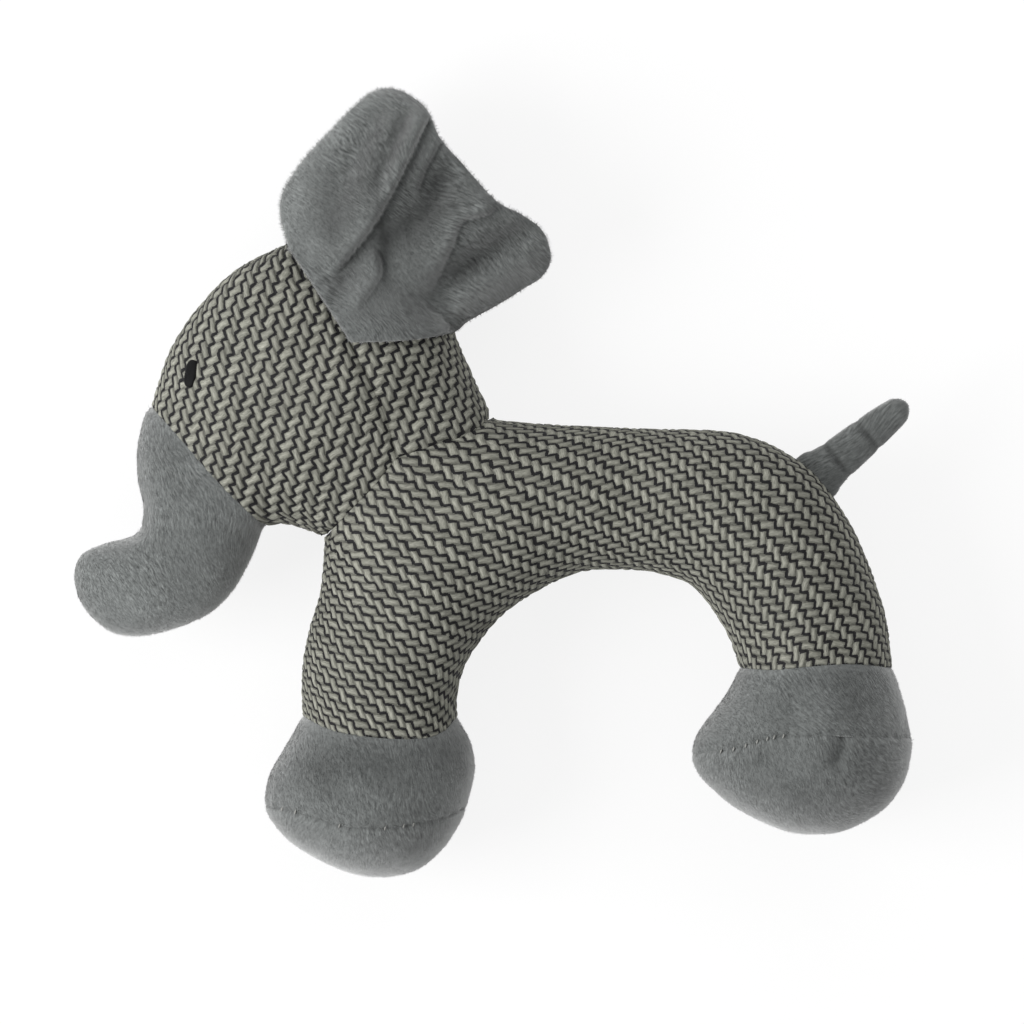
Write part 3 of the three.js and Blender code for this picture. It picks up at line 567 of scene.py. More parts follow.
def turned_in(grid, left, right, start=None, end=None):
    """The grid with one more column at each side, and one more row at each end that is given."""

    def row(line):
        return [] if line is None else [np.pad(line, ((1, 1), (0, 0)), mode="edge")[None]]

    wide = np.concatenate([left[:, None], grid, right[:, None]], axis=1)
    return np.concatenate([*row(start), wide, *row(end)])


def flat_pattern(points, base):
    """Where each point lies on the cloth before stuffing: its length round the section, measured from
    the base column, laid out straight across."""
    across = run_across(points)
    way = unit(points[:, -1, :2] - points[:, 0, :2])[:, None]
    return points[:, base:base + 1, :2] + (across - across[:, base:base + 1])[..., None] * way


YARN_PITCH = np.array([3.0, 2.7])  # distance between the yarns that lie along and across
YARN_ROUND = 2.5  # power of a yarn's round section
END_DIP, END_POWER = 0.55, 3.0  # how far and how sharply a float dips at its ends

# How the body's grain bends with the belly's arch: where along the toy, over what reach and how far.
GRAIN_SHIFT, GRAIN_ARCH = (60, 40, 10.8), (30, 37, -12.3)

# How far apart the yarns that are counted along the body lie, and how they lean and fan out.
GRAIN_STRETCH, GRAIN_LEAN, GRAIN_FAN = 0.85, 0.235, -0.00404
HEAD_GRAIN = np.radians([-65, 26])  # headings of the head's two sets of yarns


def smooth_step(x, bend):
    """A shift of the grain: the hyperbolic tangent of the way past its middle, over its reach."""
    middle, reach, shift = bend
    return shift * np.tanh((x - middle) / reach)


def body_grain(flat):
    """Counts of yarns along and across the body's cloth: the grain leans and bends with the belly's arch."""
    x, y = flat[..., 0], flat[..., 1]
    along = GRAIN_STRETCH * x + smooth_step(x, GRAIN_SHIFT) + y * (GRAIN_LEAN + GRAIN_FAN * x)
    across = y + smooth_step(x, GRAIN_ARCH)
    return np.stack([along, across], -1) / YARN_PITCH


def head_grain(flat):
    """Counts of yarns along and across the head's cloth, which is cut at a slant."""
    return (flat[..., :1] * np.cos(HEAD_GRAIN) + flat[..., 1:] * np.sin(HEAD_GRAIN)) / YARN_PITCH


def weave(grain, share):
    """Height from 0 to 1 of a two-and-two twill of thick yarns.

    The floats of one way lie side by side in chains down the slant, and chains of the other way lie
    between them. A float is round across, dips at its ends, and leans away from the dark gap that
    runs between two chains.
    """
    whole, part = np.floor(grain), grain % 1
    turn = whole.sum(-1) % 4
    weft = turn > 1.5
    own = np.where(weft, part[..., 1], part[..., 0])
    other = np.where(weft, part[..., 0], part[..., 1])
    float_at = (other + turn % 2) / 2
    lean = (1 - 2 * float_at) * (1 - share) / 2
    across = np.minimum(np.abs(2 * (own - 0.5 - lean)) / share, 1)
    ends = np.minimum(np.abs(2 * float_at - 1) / share, 1)
    return (1 - across**YARN_ROUND) * (1 - END_DIP * ends**END_POWER)


def grid_faces(rows, columns, turn=1):
    """Four-cornered faces of a grid, as numbers of its points, the other way round if turn is negative."""
    at = np.arange(rows * columns).reshape(rows, columns)
    faces = np.stack([at[:-1, :-1], at[1:, :-1], at[1:, 1:], at[:-1, 1:]], -1).reshape(-1, 4)
    return faces if turn > 0 else faces[:, ::-1]


JOIN_GRID = 2e3  # steps to a millimetre of the grid on which points are taken for the same


def make_piece(name, points, faces, stuff, maps=None, merge=True):
    """A mesh object from points in millimetres, faces of three or four corners and maps of the points.

    Points that lie together are joined, and a face that loses a corner by it becomes a triangle.
    """
    points = points.reshape(-1, 3)
    kept, number = np.arange(len(points)), np.arange(len(points))
    if merge:
        cells = np.rint(points * JOIN_GRID)
        _, first, same = np.unique(cells, axis=0, return_index=True, return_inverse=True)
        number = np.argsort(np.argsort(first))[same.reshape(-1)]
        kept = np.sort(first)
    faces = number[faces]
    distinct = faces != np.roll(faces, -1, axis=1)
    total = distinct.sum(1)
    use = total >= 3
    corners, total = faces[use][distinct[use]], total[use]
    mesh = bpy.data.meshes.new(name)
    mesh.vertices.add(len(kept))
    mesh.vertices.foreach_set("co", (points[kept] * MM).astype(np.float32).ravel())
    mesh.loops.add(len(corners))
    mesh.loops.foreach_set("vertex_index", corners.astype(np.int32))
    mesh.polygons.add(len(total))
    starts = np.concatenate([[0], np.cumsum(total)[:-1]])
    mesh.polygons.foreach_set("loop_start", starts.astype(np.int32))
    mesh.polygons.foreach_set("use_smooth", np.ones(len(total), bool))
    for label, values in (maps or {}).items():
        layer = mesh.uv_layers.new(name=label)
        layer.data.foreach_set("uv", values.reshape(-1, 2)[kept][corners].astype(np.float32).ravel())
    mesh.update(calc_edges=True)
    mesh.validate()
    mesh.materials.append(stuff)
    piece = bpy.data.objects.new(name, mesh)
    bpy.context.scene.collection.objects.link(piece)
    return piece


class Graph:
    """A material's nodes, with short words for the sums that patterns are made of."""

    def __init__(self, name):
        self.material = bpy.data.materials.new(name)
        self.material.use_nodes = True
        self.tree = self.material.node_tree
        self.shader = self.tree.nodes["Principled BSDF"]

    def node(self, kind, inputs=(), out=0, **settings):
        """A new node with settings and inputs, each a value or another node's socket."""
        made = self.tree.nodes.new(kind)
        for key, value in settings.items():
            setattr(made, key, value)
        for key, value in dict(inputs).items():
            self.set(made.inputs[key], value)
        return made.outputs[out]

    def set(self, socket, value):
        """Gives a socket a value or a link."""
        if isinstance(value, bpy.types.NodeSocket):
            self.tree.links.new(value, socket)
        else:
            socket.default_value = value

    def math(self, operation, *values):
        """One sum of a Math node."""
        return self.node("ShaderNodeMath", enumerate(values), operation=operation)

    def pick(self, share, a, b):
        """a where the share is 0 and b where it is 1."""
        return self.node("ShaderNodeMix", {0: share, 2: a, 3: b}, data_type="FLOAT")

    def colours(self, share, a, b, blend="MIX"):
        """A mix of two colours."""
        inputs = {0: share, 6: a, 7: b}
        return self.node("ShaderNodeMix", inputs, 2, data_type="RGBA", blend_type=blend)

    def grey(self, shade):
        """A grey of that shade."""
        return self.node("ShaderNodeCombineColor", {0: shade, 1: shade, 2: shade})

    def tinted(self, colour, *factors):
        """The colour times the product of the factors."""
        shade = factors[0]
        for factor in factors[1:]:
            shade = self.math("MULTIPLY", shade, factor)
        return self.colours(1.0, colour, self.grey(shade), "MULTIPLY")

    def parts(self, vector):
        """The three parts of a vector."""
        split = self.tree.nodes.new("ShaderNodeSeparateXYZ")
        self.set(split.inputs[0], vector)
        return split.outputs

    def map_parts(self, name):
        """The parts of a place on one of the mesh's maps."""
        return self.parts(self.node("ShaderNodeUVMap", uv_map=name))

    def place(self):
        """Place on the piece, in its own metres."""
        return self.node("ShaderNodeTexCoord", out=3)

    def stretched(self, *pairs):
        """A vector of values, each times its own factor."""
        parts = {k: self.math("MULTIPLY", *pair) for k, pair in enumerate(pairs)}
        return self.node("ShaderNodeCombineXYZ", parts)

    def noise(self, vector, scale, detail=2.0, roughness=0.5):
        """Value of a noise at a place."""
        inputs = {"Vector": vector, "Scale": scale, "Detail": detail, "Roughness": roughness}
        return self.node("ShaderNodeTexNoise", inputs)

    def ramp(self, value, low, high, start, end):
        """The value moved from one range to another, and held at its ends."""
        inputs = {0: value, 1: low, 2: high, 3: start, 4: end}
        return self.node("ShaderNodeMapRange", inputs)

    def bump(self, height, distance, strength):
        """Bump of that height on the shader's normal."""
        inputs = {"Height": height, "Distance": distance, "Strength": strength}
        self.set(self.shader.inputs["Normal"], self.node("ShaderNodeBump", inputs))

    def finish(self, colour, roughness, **uniform):
        """Sets the shader's colour and roughness, and other values that are the same all over."""
        self.set(self.shader.inputs["Base Color"], colour)
        self.set(self.shader.inputs["Roughness"], roughness)
        for key, value in uniform.items():
            self.shader.inputs[key.replace("_", " ")].default_value = value
        return self.material


YARN_STRAY, YARN_STRAY_SCALE = 0.22, 2.3  # how far a yarn's edges wander, and how fine that is


def woven_cloth(cloth):
    """Tweed: the same twill as the mesh's relief, read from the cloth's own map of yarns.

    The gaps between chains are dark, partly with painted shade. Each float has its own shade and its strands,
    is painted darker toward its edges and ends where it dips, and floats of one way are painted lighter
    and those of the other way darker, as light falls on them.
    """
    g = Graph("woven_tweed")
    share = cloth.yarn_share
    flat = g.node("ShaderNodeUVMap", uv_map="grain")
    grain = g.parts(flat)
    yarns = []
    for axis in (0, 1):
        moved = g.node("ShaderNodeVectorMath", {0: flat, 1: (17.0 * axis, 5.0, 0.0)}, operation="ADD")
        uneven = g.math("SUBTRACT", g.noise(moved, YARN_STRAY_SCALE), 0.5)
        at = g.math("MULTIPLY_ADD", uneven, YARN_STRAY, grain[axis])
        yarns.append((at, g.math("FRACT", at), g.math("FLOOR", at)))
    (at_a, part_a, whole_a), (at_b, part_b, whole_b) = yarns
    step = g.math("ADD", whole_a, whole_b)
    turn = g.math("FLOORED_MODULO", step, 4.0)
    weft = g.math("GREATER_THAN", turn, 1.5)
    own, other = g.pick(weft, part_a, part_b), g.pick(weft, part_b, part_a)
    second = g.math("FLOORED_MODULO", turn, 2.0)
    float_at = g.math("MULTIPLY", g.math("ADD", other, second), 0.5)
    lean = g.ramp(float_at, 0.0, 1.0, (share - 1) / 2 - 0.5, (1 - share) / 2 - 0.5)
    off = g.math("DIVIDE", g.math("MULTIPLY", g.math("ADD", own, lean), 2.0), share)
    ends = g.math("DIVIDE", g.math("ABSOLUTE", g.math("MULTIPLY_ADD", float_at, 2.0, -1.0)), share)
    gap_side = g.pick(second, g.math("MULTIPLY", off, -1.0), off)
    gap = g.math("GREATER_THAN", g.math("MAXIMUM", gap_side, ends), 1.0)
    end_fall = g.math("POWER", g.math("MINIMUM", ends, 1.0), END_POWER)
    dip = g.math("MULTIPLY_ADD", end_fall, -END_DIP, 1.0)
    from_middle = g.math("MINIMUM", g.math("ABSOLUTE", off), 1.0)
    rise = g.math("MULTIPLY", g.math("SUBTRACT", 1.0, g.math("POWER", from_middle, YARN_ROUND)), dip)
    across, along = g.pick(weft, at_a, at_b), g.pick(weft, at_b, at_a)
    fibre = g.noise(g.stretched((across, 9.0), (along, 1.3), (weft, 31.0)), 1.0, 3.0, 0.6)
    float_number = g.math("FLOOR", g.math("MULTIPLY", step, 0.5))
    yarn_id = g.node("ShaderNodeCombineXYZ", {0: g.math("FLOOR", across), 1: float_number, 2: weft})
    random_shade = g.node("ShaderNodeTexWhiteNoise", {"Vector": yarn_id}, noise_dimensions="3D")
    # Painted shade: each yarn is darker toward its edges and its float's ends, where it dips.
    hollow = g.ramp(rise, 0.0, 0.85, 0.56, 1.12)
    strands = g.ramp(fibre, 0.28, 0.72, 0.52, 1.42)
    float_shade = g.ramp(random_shade, 0.0, 1.0, 0.86, 1.1)
    # Painted light and shade: floats of one way are lighter and those of the other way darker, as they catch
    # the light.
    painted_light_by_way = g.pick(weft, 1.06, 0.92)
    # The gap colour is partly a thin dark yarn and partly painted shade between the chains.
    yarn = g.colours(gap, cloth.yarn, cloth.gap_yarn_and_shade)
    g.bump(g.math("MULTIPLY_ADD", fibre, 0.3, rise), 0.0005, 0.9)
    colour = g.tinted(yarn, hollow, strands, float_shade, painted_light_by_way)
    return g.finish(colour, 0.75, Specular_IOR_Level=0.3)


PLUSH_FINISH = dict(roughness=0.95, Specular_IOR_Level=0.1, Sheen_Weight=0.7, Sheen_Roughness=0.5)


def nap_strokes(g):
    """Fine tufts along the nap, from the plush's own map in millimetres along and across it.

    They stand out more in some places than in others.
    """
    nap = g.map_parts("nap")
    tufts = g.noise(g.stretched((nap[0], 0.34), (nap[1], 1.6)), 1.0, 1.5, 0.5)
    strength = g.ramp(g.noise(g.place(), 55.0, 1.0), 0.35, 0.62, 0.8, 2.6)
    return g.math("MULTIPLY_ADD", g.math("SUBTRACT", tufts, 0.5), strength, 1.0)


def nap_and_painted_shading(g):
    """Shade of the patches of nap tone, painted shade and painted light, with smaller uneven ones by place on
    the toy.
    """
    uneven = g.ramp(g.noise(g.place(), 110.0, 2.5, 0.6), 0.3, 0.7, 0.92, 1.07)
    # The map holds nap tone, painted shade in folds and creases, and painted light on rims.
    return g.math("MULTIPLY", uneven, g.map_parts("nap_and_shade")[0])


def plush_cloth(cloth):
    """Backing of the plush: patches of nap tone, painted shade and painted light, and fine strokes of a short
    nap.
    """
    g = Graph("plush_backing")
    strokes = nap_strokes(g)
    g.bump(strokes, 0.00025, 0.5)
    return g.finish(g.tinted(cloth.plush, nap_and_painted_shading(g), strokes), **PLUSH_FINISH)


def pile_fibres(cloth):
    """Fibres of the plush: they take the backing's patches and strokes, and each has its own shade."""
    g = Graph("plush_pile")
    own = g.map_parts("fibre")
    own_shade = g.ramp(own[0], 0.0, 1.0, 0.72, 1.3)
    to_tip = g.ramp(own[1], 0.0, 1.0, 0.94, 1.1)
    return g.finish(g.tinted(cloth.plush, nap_and_painted_shading(g), nap_strokes(g), own_shade, to_tip), **PLUSH_FINISH)


def satin_thread(cloth):
    """The eye's thread: fine filaments along each stitch, read from the stitching's own map."""
    g = Graph("eye_thread")
    place = g.map_parts("stitch")
    filament = g.noise(g.stretched((place[0], 14.0), (place[1], 1.2)), 1.0, 2.0)
    g.bump(filament, 0.0001, 0.5)
    colour = g.tinted(cloth.eye_thread, g.ramp(filament, 0.3, 0.7, 0.6, 1.5))
    return g.finish(colour, 0.7, Specular_IOR_Level=0.15)


def sewing_thread(cloth):
    """Thread of the soles' stitches, twisted."""
    g = Graph("sole_thread")
    inputs = {"Vector": g.place(), "Scale": 900.0, "Distortion": 1.5}
    twist = g.node("ShaderNodeTexWave", inputs, bands_direction="DIAGONAL")
    colour = g.tinted(cloth.stitches, g.ramp(twist, 0.0, 1.0, 0.75, 1.1))
    return g.finish(colour, 0.8, Specular_IOR_Level=0.2)


def fibre_fill(cloth):
    """Stuffing: tangled pale fibres, lighter and darker in tufts."""
    g = Graph("stuffing_fibre")
    tufts = g.noise(g.place(), 120.0, 3.0)
    tangle = g.noise(g.place(), 1400.0, 3.0, 0.7)
    g.bump(g.math("ADD", tufts, tangle), 0.0012, 0.7)
    tuft_shade = g.ramp(tufts, 0.3, 0.7, 0.78, 1.05)
    tangle_shade = g.ramp(tangle, 0.3, 0.7, 0.8, 1.05)
    return g.finish(g.tinted(cloth.stuffing, tuft_shade, tangle_shade), 0.95, Sheen_Weight=0.3)


def squeaker_plastic(cloth):
    """Soft plastic of the squeaker: faint flow marks of the mould and a fine grain."""
    g = Graph("squeaker_plastic")
    flow = g.noise(g.place(), 90.0, 2.0)
    g.bump(g.noise(g.place(), 2500.0, 2.0), 0.00008, 0.4)
    rough = g.ramp(flow, 0.3, 0.7, 0.38, 0.52)
    return g.finish(g.tinted(cloth.squeaker, g.ramp(flow, 0.3, 0.7, 0.92, 1.04)), rough)


def reed_plastic(cloth):
    """Harder, darker plastic of the reed and its plug, with fine scratches."""
    g = Graph("reed_plastic")
    place = g.parts(g.place())
    scratch = g.noise(g.stretched((place[0], 3000.0), (place[1], 150.0), (place[2], 1.0)), 1.0, 2.0)
    g.bump(scratch, 0.00004, 0.4)
    return g.finish(g.tinted(cloth.squeaker, g.ramp(scratch, 0.3, 0.7, 0.5, 0.62)), 0.32)


MATERIALS = {
    "woven_tweed": woven_cloth,
    "plush_backing": plush_cloth,
    "plush_pile": pile_fibres,
    "eye_thread": satin_thread,
    "sole_thread": sewing_thread,
    "stuffing_fibre": fibre_fill,
    "squeaker_plastic": squeaker_plastic,
    "reed_plastic": reed_plastic,
}


def material(name, cloth):
    """A named material, made when it is first asked for."""
    return bpy.data.materials.get(name) or MATERIALS[name](cloth)


def joined(piece, body, node, bend=None):
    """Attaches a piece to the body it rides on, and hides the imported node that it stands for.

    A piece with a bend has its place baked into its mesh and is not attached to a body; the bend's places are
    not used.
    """
    if bend is None:
        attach(piece, body)
    else:
        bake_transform(piece)
    if node:
        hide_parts(node)


# Where the pile is darker or lighter: nap tone, painted shade in the ear's folds and the tail's creases,
# and painted light along rims. Place, half length, half width, heading, change of shade.
NAP_AND_PAINTED_SHADES = [
    (-104, 4, 16, 9, -60, -0.10), (-110, 10, 8, 6, -40, -0.10), (-110, -17, 11, 7, -60, -0.07),
    (-86, -24, 14, 7, 60, 0.07), (-122, -34, 12, 10, 0, 0.20), (-106, -41, 18, 9, 18, 0.34),
    (-60, -96, 8, 8, -40, -0.28), (-48, -92, 14, 8, -20, -0.32), (-28, -91, 15, 10, 0, -0.16),
    (-53, -103, 7, 4, -60, -0.16), (-48, -101, 4, 3, 0, 0.14), (-30, -104, 12, 6, 10, 0.05),
    (-54, -121, 6, 10, 20, 0.12), (-12, -117, 8, 5, 60, -0.08), (-25, -121.5, 6, 6, 0, -0.16),
    (-67, -115, 7, 4, -35, -0.12), (-74, -101, 8, 4, 80, -0.14), (-15, -104, 6, 8, 80, 0.14),
    (97, -72, 9, 4.5, 67, -0.20), (119.5, -70.5, 10, 5, -52, -0.22), (108, -76, 13, 6, -50, 0.12),
    (115, -89, 5, 8, 75, -0.20), (88, -90, 6, 5, 0, -0.15), (102, -105, 6, 5, 40, -0.18),
    (130.5, -102.5, 11, 4.5, 50, -0.22), (104, -88, 8, 5, 60, 0.10), (129, -79, 8, 5, 60, 0.14),
    (128, -86, 8, 4, 0, 0.14), (121, -103.5, 5, 5, 0, 0.08), (104, -115, 16, 3, 5, -0.14),
    (-51, 116, 10, 4.5, 48, 0.36), (-66.5, 92, 13, 4, 75, 0.42), (-60, 109, 10, 3, 50, 0.16),
    (-43, 126, 9, 3, 42, 0.22), (-59.5, 77, 6, 4, -50, 0.25), (-45.5, 98, 16, 5.5, 66, -0.42),
    (-54, 82, 10, 4.5, 75, -0.18), (-38, 117, 13, 3.5, 66, -0.32), (-31, 114, 12, 3, 70, -0.60),
    (-29, 107, 14, 2, 63, 0.10), (-27, 98, 17, 4, 62, -0.26), (-17.5, 101.5, 9, 4, 63, -0.48),
    (-23, 88, 17, 6, 38, -0.46), (-9, 88, 11, 3, 45, 0.16), (-2, 89, 7, 2.5, 28, -0.28),
    (5, 84, 9, 4, 30, -0.20), (-9, 72, 11, 4, 45, -0.30), (-15.5, 78, 8, 3, 62, 0.22),
    (-3, 75, 17, 3.5, 38, -0.26), (-3, 64.5, 17, 4, 34, 0.20), (-13, 57, 6, 4, 40, 0.35),
    (-36, 80, 12, 3, 95, -0.40), (-45, 82, 8, 3, 50, 0.28), (-51, 66, 7, 3, 60, -0.45),
    (-42, 66, 7, 4, 60, 0.22), (-32.5, 61, 6, 3.5, 30, 0.16), (-15, 79, 34, 26, 35, -0.20),
    (122, 12, 24, 14, 38, -0.34), (114.7, 7.7, 7.5, 1.2, -51, -0.30), (125.1, 16.1, 6.5, 1.1, -51, -0.28),
    (119.5, 12.5, 5, 4, 39, 0.10), (109, 1, 4, 5, 39, 0.14),
]

SEAM_SHADES = {"front_sole": -0.38, "rear_sole": -0.16}  # painted shade: a dark line along each sole's seam, where its groove lies under the pile
SEAM_SHADE_HALF, SEAM_SHADE_REACH = 0.45, 3  # half width of that dark line, and where it has faded out


def nap_and_painted_shade(xy):
    """Shade of the pile at places: nap tone, painted shade and painted light, 1 where there is none.

    A soft oval is added for each patch, and a soft line of painted shade for each sole's seam.
    """
    shade = np.ones(xy.shape[:-1])
    # Ovals of nap tone, painted fold and crease shade, and painted rim light.
    for x, y, long, wide, turn, change in NAP_AND_PAINTED_SHADES:
        c, s = np.cos(np.radians(turn)), np.sin(np.radians(turn))
        dx, dy = xy[..., 0] - x, xy[..., 1] - y
        shade = shade + change * np.exp(-(((dx * c + dy * s) / long) ** 2) - ((dy * c - dx * s) / wide) ** 2)
    # Painted shade along each sole's seam groove.
    for name, change in SEAM_SHADES.items():
        line = np.array(SEAMS[name])
        low, high = line.min(0) - SEAM_SHADE_REACH, line.max(0) + SEAM_SHADE_REACH
        beside = ((xy > low) & (xy < high)).all(-1)
        off, _ = from_line(xy[beside], SEAMS[name], FINE_POINTS)
        shade[beside] += change * np.exp(-((off / SEAM_SHADE_HALF) ** 2))
    return shade


STEEP_SHARE = 0.75  # how much of a steep side's depth counts when it is laid flat


def laid_flat(points, normal):
    """Places of a round piece as if its steep sides lay flat.

    Each is moved out by a share of its depth under the piece's top.
    """
    high = np.abs(points[..., 2])
    return points[..., :2] + STEEP_SHARE * (high.max() - high)[..., None] * normal[..., :2]


class Nap:
    """The way the pile lies: straight along a heading, bent by wide smooth waves and curled by small ones."""

    BEND, BEND_SIZE = 2.6, 45
    CURL, CURL_SIZE = 0.4, 12
    PROBE = 0.2  # distance over which the map's slope is taken

    def __init__(self, turn, seed):
        self.turn, self.seed = np.radians(turn), seed

    def stray(self, xy, size, seed):
        """Smooth uneven steps to the side and along."""
        return np.stack([waves(xy, size, seed), waves(xy, size, seed + 1)], -1)

    def map(self, xy):
        """Millimetres along and across the nap."""
        bent = xy + self.BEND * self.stray(xy, self.BEND_SIZE, self.seed)
        bent = bent + self.CURL * self.stray(xy, self.CURL_SIZE, self.seed + 2)
        c, s = np.cos(self.turn), np.sin(self.turn)
        return np.stack([bent[..., 0] * c + bent[..., 1] * s, bent[..., 1] * c - bent[..., 0] * s], -1)

    def maps(self, xy, flat):
        """Maps of a plush piece: its nap on the flat cloth, and its nap tone, painted shade and painted light
        by place.
        """
        shade = nap_and_painted_shade(xy)
        return {"nap": self.map(flat), "nap_and_shade": np.stack([shade, shade], -1)}

    def lay(self, points, flat):
        """Direction of the nap on a grid of points.

        On the flat cloth it is the way along which the distance across the nap stays the same. The
        grid's two steps are added, each weighed by how far the other's flat step turns from that way.
        """
        right, up = np.array([self.PROBE, 0]), np.array([0, self.PROBE])
        slope_x = (self.map(flat + right) - self.map(flat - right))[..., 1]
        slope_y = (self.map(flat + up) - self.map(flat - up))[..., 1]
        way = np.stack([slope_y, -slope_x], -1)
        (flat_u, flat_v), (u, v) = (np.gradient(field, axis=(0, 1)) for field in (flat, points))
        side = np.sign(turn_between(flat_u, flat_v))
        along_u, along_v = side * turn_between(way, flat_v), side * turn_between(flat_u, way)
        return unit(along_u[..., None] * u + along_v[..., None] * v)


# Heading of each plush piece's nap, and a seed for its near side. The far side's seed is one more.
NAPS = {
    "trunk": (-65, 20), "front_boot": (-70, 30), "rear_boot": (-45, 40), "front_boot_sole": (-95, 50),
    "rear_boot_sole": (-75, 60), "ear_outer": (140, 70), "ear_inner": (140, 80), "tail": (37.5, 91),
}


def nap_of(name, side="near"):
    """The nap of a plush piece."""
    turn, seed = NAPS[name]
    return Nap(turn, seed + (side == "far"))


PILE_RADIUS = 0.1
PILE_SUNK = 0.05  # how deep a fibre's root is in the cloth
PILE_LEAN = (0.12, 0.42)  # least and most that a fibre rises for each step along the nap
PILE_LENGTHS = (0.6, 1.15)  # shortest and longest fibre, as shares of the pile's length
PILE_STRAY = 0.3  # how far a fibre turns from the nap
SEAM_STRAY, SEAM_ROWS = 1.6, 1.2  # how far more it turns at a panel's end, and over how many rows
BLADE_DEPTH = 0.4  # a fibre's depth as a share of its radius
BLADE_ROUND = 0.12  # how far a fibre's own shape turns the shading


def add_pile(name, body, grids, nap, cloth, seed, upright=0.0, pile_share=1.0, bend=None):
    """One piece of pile: spikes that lean along the nap, on a grid with its normals and flat places.

    A grid's cells are drawn by their area. Each spike is a flat blade with its broad face up, and shades
    as the cloth under it does. It strays near a seam, and stands more upright where the grid says so.
    """
    points, normal, flat = grids
    draw = np.random.default_rng(seed)
    u, v = points[1:, :-1] - points[:-1, :-1], points[:-1, 1:] - points[:-1, :-1]
    area = np.linalg.norm(np.cross(u, v), axis=-1)
    count = int(area.sum() * cloth.pile_density)
    i, j = np.unravel_index(draw.choice(area.size, count, p=area.ravel() / area.sum()), area.shape)
    a, b = draw.random((2, count, 1))

    def within(field):
        low = field[i, j] * (1 - a) + field[i + 1, j] * a
        high = field[i, j + 1] * (1 - a) + field[i + 1, j + 1] * a
        return low * (1 - b) + high * b

    root, up = within(points), unit(within(normal))
    lay = within(nap.lay(points, flat))
    lay = unit(lay - (lay * up).sum(-1, keepdims=True) * up)
    aside = np.cross(up, lay)
    rows = np.minimum(i, area.shape[0] - 1 - i)[:, None]
    stray = draw.normal(0, PILE_STRAY, (count, 1))
    stray = stray + draw.normal(0, SEAM_STRAY, (count, 1)) * np.exp(-rows / SEAM_ROWS)
    lay = lay * np.cos(stray) + aside * np.sin(stray)
    raised = within(np.broadcast_to(upright, points.shape[:2])[..., None])
    lean = unit(draw.uniform(*PILE_LEAN, (count, 1)) * (1 + raised) * up + lay)
    side = unit(np.cross(lean, up))
    rise = np.cross(side, lean)
    ring = [PILE_RADIUS * side, -PILE_RADIUS * side, -BLADE_DEPTH * PILE_RADIUS * rise]
    base = root - up * PILE_SUNK
    long = pile_share * cloth.pile_length / MM * draw.uniform(*PILE_LENGTHS, (count, 1))
    spikes = over_floor(np.stack([base + r for r in ring] + [base + lean * long], axis=1))
    first = np.arange(count)[:, None] * 4
    faces = np.concatenate([first + np.array(s) for s in ((1, 0, 3), (2, 1, 3), (0, 2, 3), (0, 1, 2))])
    own_shade, to_tip = np.repeat(draw.random((count, 1)), 4, 1), np.tile([0, 0, 0, 1.0], (count, 1))
    maps = nap.maps(root[:, :2], within(flat))
    maps = {key: np.repeat(field[:, None], 4, 1) for key, field in maps.items()}
    maps["fibre"] = np.stack([own_shade, to_tip], -1)
    piece = make_piece(name, spikes, faces, material("plush_pile", cloth), maps, False)
    outward = np.stack([unit(r) for r in ring] + [lean], axis=1)
    tilt = unit(np.repeat(up[:, None], 4, 1) + BLADE_ROUND * outward)
    piece.data.normals_split_custom_set_from_vertices(tilt.reshape(-1, 3).tolist())
    joined(piece, body, None, bend=bend)


TURNED_IN = 2.2  # how far a panel's edge goes in at a seam
SEAM_ANGLE = np.radians(50)  # sharper edges of the plush are shaded as creases
WOBBLE, WOBBLE_SIZE, WOBBLE_SEEDS = 0.11, 7, (71, 72)  # how far the yarns stray, and over what length
SOFTENED = 0.07  # share of a yarn over which the relief is averaged
RELIEF_LEVEL = 0.4  # height in the weave that lies on the skin


def woven(points, normal, grain, cloth):
    """Points of a woven panel, raised by its yarns."""
    shifts = SOFTENED * np.array([(1, 0), (-1, 0), (0, 1), (0, -1)])
    relief = np.mean([weave(grain + shift, cloth.yarn_share) for shift in shifts], axis=0)
    return points + normal * (cloth.yarn_relief / MM * (relief - RELIEF_LEVEL))[..., None]


